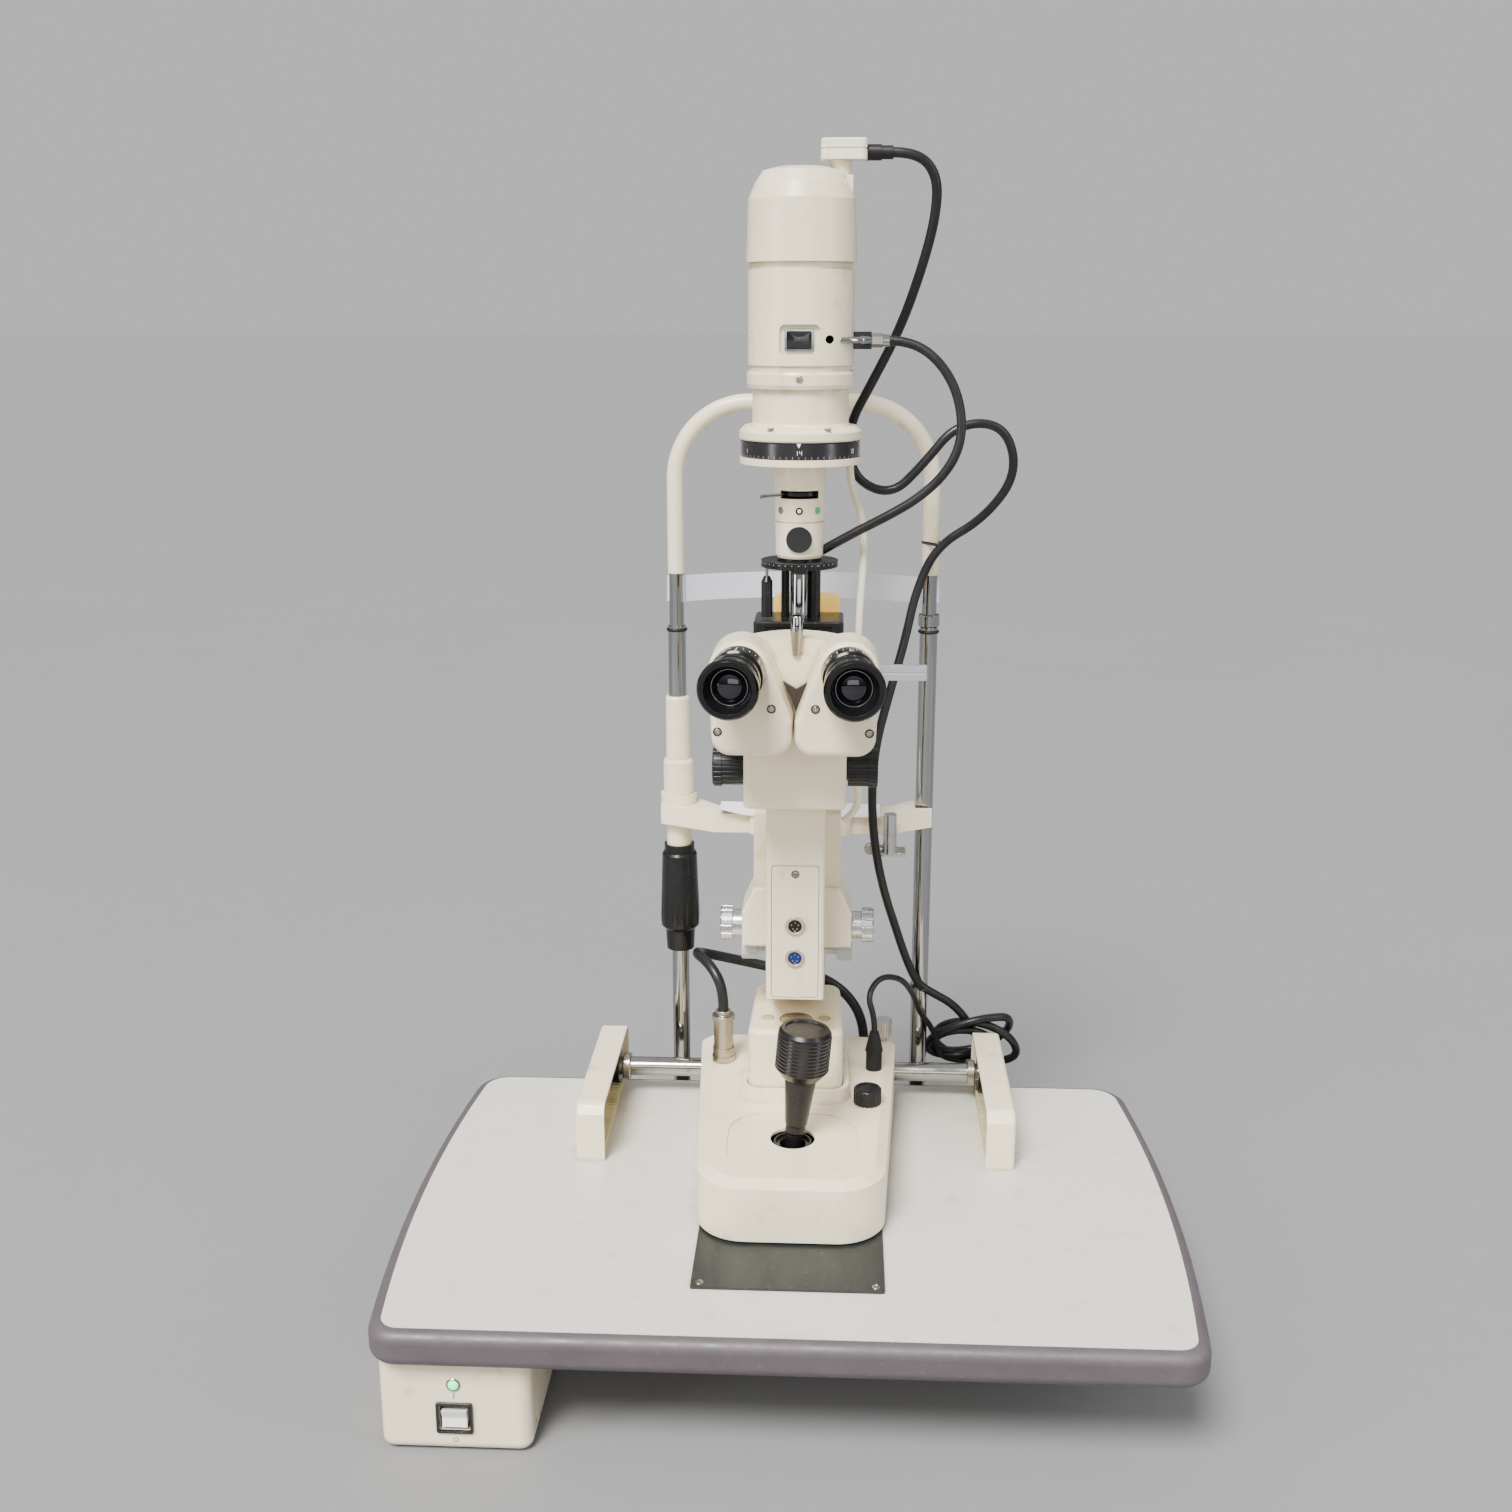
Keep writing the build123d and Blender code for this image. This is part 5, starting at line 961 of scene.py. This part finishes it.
def flange_screws(bm):
    for x in (-20, 20):
        cross_screw(bm, (x, LAMP_Y - 37, 587.2), UP, 2.5, 0.9, turn=x * 0.05)
    cross_screw(bm, (0, LAMP_Y - 38.5, 621.2), TOWARDS_EXAMINER, 2.6, 0.8, turn=0.5)


def lamp_wall(r, z, turn):
    """Place on a round wall of the lamp, turned from the front, and the level direction along it."""
    a = math.radians(turn)
    return (r * math.sin(a), LAMP_Y - r * math.cos(a), z), (math.cos(a), math.sin(a), 0)


def around_lamp(bm, outline, r, z, turn, mat=0):
    """A small flat mark on a round wall of the lamp."""
    place, along = lamp_wall(r, z, turn)
    prism(bm, outline, place, along, UP, 0.25, bevel=0.03, mat=mat)


def filter_symbols(bm):
    """Grey disc, open circle and green dot for the filters, over the seam of the lens tube."""
    symbol_z, seam_z = 528, 519.5
    for r, out, turn, mat in ((2.6, 0.05, -48, 0), (2.7, 0.1, 0, 1), (1.5, 0.2, 0, 2), (2.6, 0.05, 46, 3)):
        around_lamp(bm, circle(r), TUBE_RADIUS + out, symbol_z, turn, mat)
    torus(bm, (0, LAMP_Y, seam_z), UP, TUBE_RADIUS - 0.05, 0.28)


def dial_pointer(bm):
    around_lamp(bm, [(-1.5, 1.3), (0, -1.7), (1.5, 1.3)], DIAL_RADIUS + 0.15, 576.2, 0)


# each digit as strokes of a seven-bar figure: (x, y, width, height) in half figure widths
LINE = 0.34
TOP, MIDDLE, BOTTOM = ((0, y, 1.9, LINE) for y in (1.5, 0, -1.5))
TALL_RIGHT, TALL_LEFT = ((x, 0, LINE, 3.2) for x in (0.8, -0.8))
UPPER_RIGHT, UPPER_LEFT, LOWER_LEFT = ((x, y, LINE, 1.6) for x, y in ((0.8, 0.8), (-0.8, 0.8), (-0.8, -0.8)))
BARS = {
    "0": [TOP, BOTTOM, TALL_RIGHT, TALL_LEFT],
    "1": [(0.3, 0, LINE, 3.2)],
    "2": [TOP, UPPER_RIGHT, MIDDLE, LOWER_LEFT, BOTTOM],
    "4": [UPPER_LEFT, MIDDLE, TALL_RIGHT],
    "8": [TOP, MIDDLE, BOTTOM, TALL_RIGHT, TALL_LEFT],
}
DIGIT_PITCH = 2.7


def figure(bm, digits, origin, x_dir, y_dir, size, lift=0.1):
    """A small number made of raised bars."""
    x_dir, y_dir = Vector(x_dir), Vector(y_dir)
    for place, digit in enumerate(digits):
        shift = (place - (len(digits) - 1) / 2) * DIGIT_PITCH * size
        for x, y, w, h in BARS[digit]:
            at = Vector(origin) + x_dir * (shift + x * size) + y_dir * (y * size)
            outline = [(w * size / 2 * i, h * size / 2 * j) for i, j in ((1, 1), (-1, 1), (-1, -1), (1, -1))]
            prism(bm, outline, at, x_dir, y_dir, lift, bevel=0.02)


def dial_numbers(bm):
    """Slit lengths round the dial."""
    for turn, digits in ((0, "14"), (60, "10"), (120, "8"), (180, "4"), (240, "2"), (300, "1")):
        place, along = lamp_wall(DIAL_RADIUS, DIAL_Z, turn)
        figure(bm, digits, place, along, UP, 0.95)


def side_slot(bm):
    """Shallow vent slot in the left of the lamp housing."""
    place, along = lamp_wall(HOUSING_RADIUS, 645, -62)
    frame_ring(bm, rounded(5.4, 19, 2.6), rounded(3.6, 17.2, 1.7), place, along, UP, 0.55)


def eye_lens(side):
    """Eye lens with a bright retaining ring."""
    def build(bm):
        at, out, _ = eye_axis(side)
        glass = [(0, 44.2), (11.6, 45.6), (11.6, 48.0), (9.5, 49.7), (6.5, 51.0), (3.2, 51.7), (0, 51.9)]
        lathe(bm, glass, at, out, seg=64)
        ring(bm, at, out, 12.1, 11.3, 46.2, 48.6, ease=0.3, mat=1, seg=64)
    return build


def eye_marks(side):
    """Dioptre ticks and figures round the focusing ring; every fourth tick carries its figure."""
    ring_radius, ticks_from, figures_at = 18.15, 10.5, 16.8

    def build(bm):
        at, out, across = eye_axis(side)
        for k in range(-7, 8):
            a = math.radians(90 + 14 * k)
            radial = across * math.cos(a) + Vector(UP) * math.sin(a)
            tangent = across * -math.sin(a) + Vector(UP) * math.cos(a)
            length = 3.4 if k % 2 == 0 else 1.8
            wall = at + radial * ring_radius
            turn = Matrix((tangent, out, radial)).transposed()
            box(bm, wall + out * (ticks_from + length / 2), (0.5, length, 0.3), bevel=0, turn=turn)
            if k % 4 == 0:
                figure(bm, str(abs(k)), wall + out * figures_at, -tangent, -out, 0.62, lift=0.15)
    return build


def slit_marks(bm):
    """Angle ticks round the slit disc, apart from its rear."""
    disc_top, tick_radius, rear = 489.6, 27.2, 0.55
    for k in range(36):
        a = math.radians(10 * k)
        out, tangent = Vector((math.cos(a), math.sin(a), 0)), Vector((-math.sin(a), math.cos(a), 0))
        if out.y > rear:
            continue
        place = Vector((0, LAMP_Y, disc_top)) + out * tick_radius
        box(bm, place, (0.45, 2.2, 0.35), bevel=0, turn=Matrix((tangent, out, Vector(UP))).transposed())


def post_tie(bm, post, r, cord, cord_r, z):
    """Band drawn round a post and the cord beside it."""
    post, cord = Vector(post), Vector(cord)
    across = (cord - post).normalized()
    first, half = math.atan2(across.y, across.x), 1.3
    outline = []
    for centre, radius, start in ((cord, cord_r, -90), (post, r, 90)):
        for k in range(13):
            a = first + math.radians(start + 15 * k)
            outline.append((centre.x + radius * math.cos(a), centre.y + radius * math.sin(a)))
    centre = ((post.x + cord.x) / 2, (post.y + cord.y) / 2)
    local = [(x - centre[0], y - centre[1]) for x, y in outline]
    rings = [
        loop_at(bm, local, (*centre, z), *LEVEL, grow, lift)
        for grow, lift in ((0.99, -half), (1.06, -0.6 * half), (1.06, 0.6 * half), (0.99, half))
    ]
    band(bm, rings)


def cord_ties(bm):
    """Upper and lower tie of the lamp cord, each with its lock."""
    upper, lower = 489, 112
    post_tie(bm, (POST_X, POST_Y), 6.9, (107, 187.6), 3.6, upper)
    post_tie(bm, (POST_X, POST_Y), 7.4, (104, 189.2), 3.6, lower)
    box(bm, (112.5, 194, upper), (4, 3, 2))
    box(bm, (95.2, 192, lower), (4.6, 3, 2.4))


def chin_papers(bm):
    """Stack of paper slips with one corner lifting."""
    left, width, front, depth, level, thick = -66, 131, 160, 34, 273.0, 1.8
    steps_x, steps_y = 36, 12
    top, low = [], []
    for j in range(steps_y + 1):
        top.append([])
        low.append([])
        for k in range(steps_x + 1):
            s, t = k / steps_x, j / steps_y
            x, y = left + width * s, front + depth * t
            curl = max(0.0, 1 - math.hypot(s / 0.20, t / 0.9)) ** 1.5
            z = level + 4.5 * curl + 0.25 * math.sin(9 * s + 2 * t)
            top[j].append(bm.verts.new(Vector((x, y, z)) * MM))
            low[j].append(bm.verts.new(Vector((x + 1.2 * curl, y, z - thick + 0.9 * curl)) * MM))
    for j in range(steps_y):
        for k in range(steps_x):
            bm.faces.new((top[j][k], top[j][k + 1], top[j + 1][k + 1], top[j + 1][k]))
            bm.faces.new((low[j][k], low[j + 1][k], low[j + 1][k + 1], low[j][k + 1]))
    edge = (
        [(0, k) for k in range(steps_x)] + [(j, steps_x) for j in range(steps_y)]
        + [(steps_y, k) for k in range(steps_x, 0, -1)] + [(j, 0) for j in range(steps_y, 0, -1)]
    )
    bridge(bm, [top[j][k] for j, k in edge], [low[j][k] for j, k in edge])


def fixation_thumbscrew(bm):
    """Bracket and small screw that hold the fixation rod's socket."""
    box(bm, (62.5, 167, 243.2), (12, 9, 3.2), bevel=0.6)
    screw = [(0, 0), (1.6, 0), (1.6, 3), (4.2, 3.4), (4.6, 4), (4.6, 7.4), (4.0, 8), (0, 8)]
    lathe(bm, screw, (57, 166.5, 244.6), TOWARDS_EXAMINER, seg=28, mat=1)


def splice_sleeve(bm):
    """Sleeve where the lead joins the lamp cord among the turns."""
    profile = [(0, 0), (3.2, 0), (4.6, 2.5), (4.9, 6), (4.9, 20), (4.4, 24), (3.0, 26), (0, 26)]
    lathe(bm, profile, (143, 229, 27.6), (25.4, -3.4, 1.4), seg=28)


trim("glide_screws", "table", "nickel", glide_screws)
trim("pedestal_plugs", "pedestal", "disc beige", pedestal_plugs)
trim("light_switch", "illumination", "chrome gloss_black", light_switch)
trim("fibre_ferrule", "illumination", "chrome", fibre_ferrule)
trim("power_lamp", "table", "chrome lit_green", power_lamp)
trim("power_switch_bezel", "table", "gloss_black", power_switch_bezel)
trim("power_marks", "table", "grey_print", power_marks)
trim("arm_sockets", "microscope", "beige_nickel black blue brass_pin", arm_sockets)
trim("cover_screw", "microscope", "gloss_black nickel", cover_screw)
trim("objective_lens", "microscope", "black optic", objective_lens)
trim("post_rings", "table", "rubber chrome", post_rings)
trim("yoke_rod", "illumination", "chrome", yoke_rod)
trim("locating_peg", "microscope", "nickel chrome", locating_peg)
trim("amber_plate", "illumination", "amber black", amber_plate)
trim("housing_wedge", "microscope", "brown", housing_wedge, smooth=20)
trim("flange_screws", "illumination", "nickel", flange_screws)
trim("filter_symbols", "illumination", "grey black cream green", filter_symbols)
trim("dial_pointer", "illumination", "white", dial_pointer)
trim("dial_numbers", "slit_length", "white", dial_numbers)
trim("side_slot", "illumination", "cream", side_slot)
trim("slit_marks", "slit_rotation", "white", slit_marks)
trim("cord_ties", "table", "gloss_black", cord_ties)
trim("chin_papers", "chin_rest", "paper", chin_papers)
trim("fixation_thumbscrew", "chin_rest", "alu nickel", fixation_thumbscrew)
trim("splice_sleeve", "table", "rubber", splice_sleeve)
for side, hand in SIDES:
    trim(f"prism_screws_{hand}", f"prism_{hand}", "gloss_black nickel", prism_screws(side))
    trim(f"eye_lens_{hand}", f"ocular_{hand}", "optic chrome", eye_lens(side))
    trim(f"eye_marks_{hand}", f"ocular_{hand}", "white", eye_marks(side))


# ---------------------------------------------------------------- plain stage, light and finish
def soft_light(name, place, size, power, tint):
    """Area light aimed at the middle of the object."""
    data = bpy.data.lights.new(name, "AREA")
    data.shape = "RECTANGLE"
    data.size, data.size_y = size
    data.energy = power
    data.color = tint
    lamp = linked(name, data)
    lamp.location = place
    lamp.rotation_euler = (Vector(LIGHT_AIM) - Vector(place)).to_track_quat("-Z", "Y").to_euler()


def make_floor():
    """Pale floor under the lowest point, far wider than the view."""
    bm = bmesh.new()
    lathe(bm, [(0, 0), (1500, 0), (60000, 0)], (0, 0, CAD_LOW.z / MM - FLOOR_GAP), UP, seg=96)
    data = bpy.data.meshes.new("floor")
    bm.to_mesh(data)
    bm.free()
    floor = linked("floor", data)
    data.materials.append(surface("floor_paint", (0.212, 0.212, 0.216), 0.7, mottle=0.012, mottle_scale=2))


def make_world():
    """Surroundings brighter above, seen by the camera as one plain tone."""
    world = bpy.data.worlds.new("studio")
    bpy.context.scene.world = world
    world.use_nodes = True
    tree = world.node_tree
    tree.nodes.clear()
    seen = add(tree, "Background", Color=(1.0, 1.0, 1.0, 1.0), Strength=BACKDROP)
    coords = add(tree, "TexCoord").outputs["Generated"]
    height = add(tree, "SeparateXYZ", [("Vector", coords)]).outputs["Z"]
    sky = mix(tree, spread(tree, height, 0.0, 1.0, 0.05, 0.60), (0.06, 0.062, 0.068), (0.90, 0.90, 0.91))
    lit = add(tree, "Background", [("Color", sky)], Strength=0.9)
    by_camera = add(tree, "LightPath").outputs["Is Camera Ray"]
    choose = add(tree, "MixShader", [(0, by_camera), (1, lit.outputs[0]), (2, seen.outputs[0])])
    add(tree, "OutputWorld", [(0, choose.outputs[0])])


def make_sun():
    """Soft key light from the upper left front."""
    sun = bpy.data.lights.new("key", "SUN")
    sun.energy = 7.4
    sun.angle = math.radians(22)
    sun.color = (1.0, 0.985, 0.955)
    linked("key", sun).rotation_euler = (math.radians(34), math.radians(-16), 0)


make_floor()
make_world()
make_sun()
soft_light("left_window", (-1.9, -1.3, 1.05), (0.45, 1.7), 24, (1.0, 0.99, 0.97))
soft_light("right_window", (1.9, -0.9, 1.05), (0.35, 1.7), 17, (0.97, 0.985, 1.0))
soft_light("front_fill", (0.2, -2.6, 1.0), (1.8, 0.8), 12, (1.0, 0.985, 0.96))
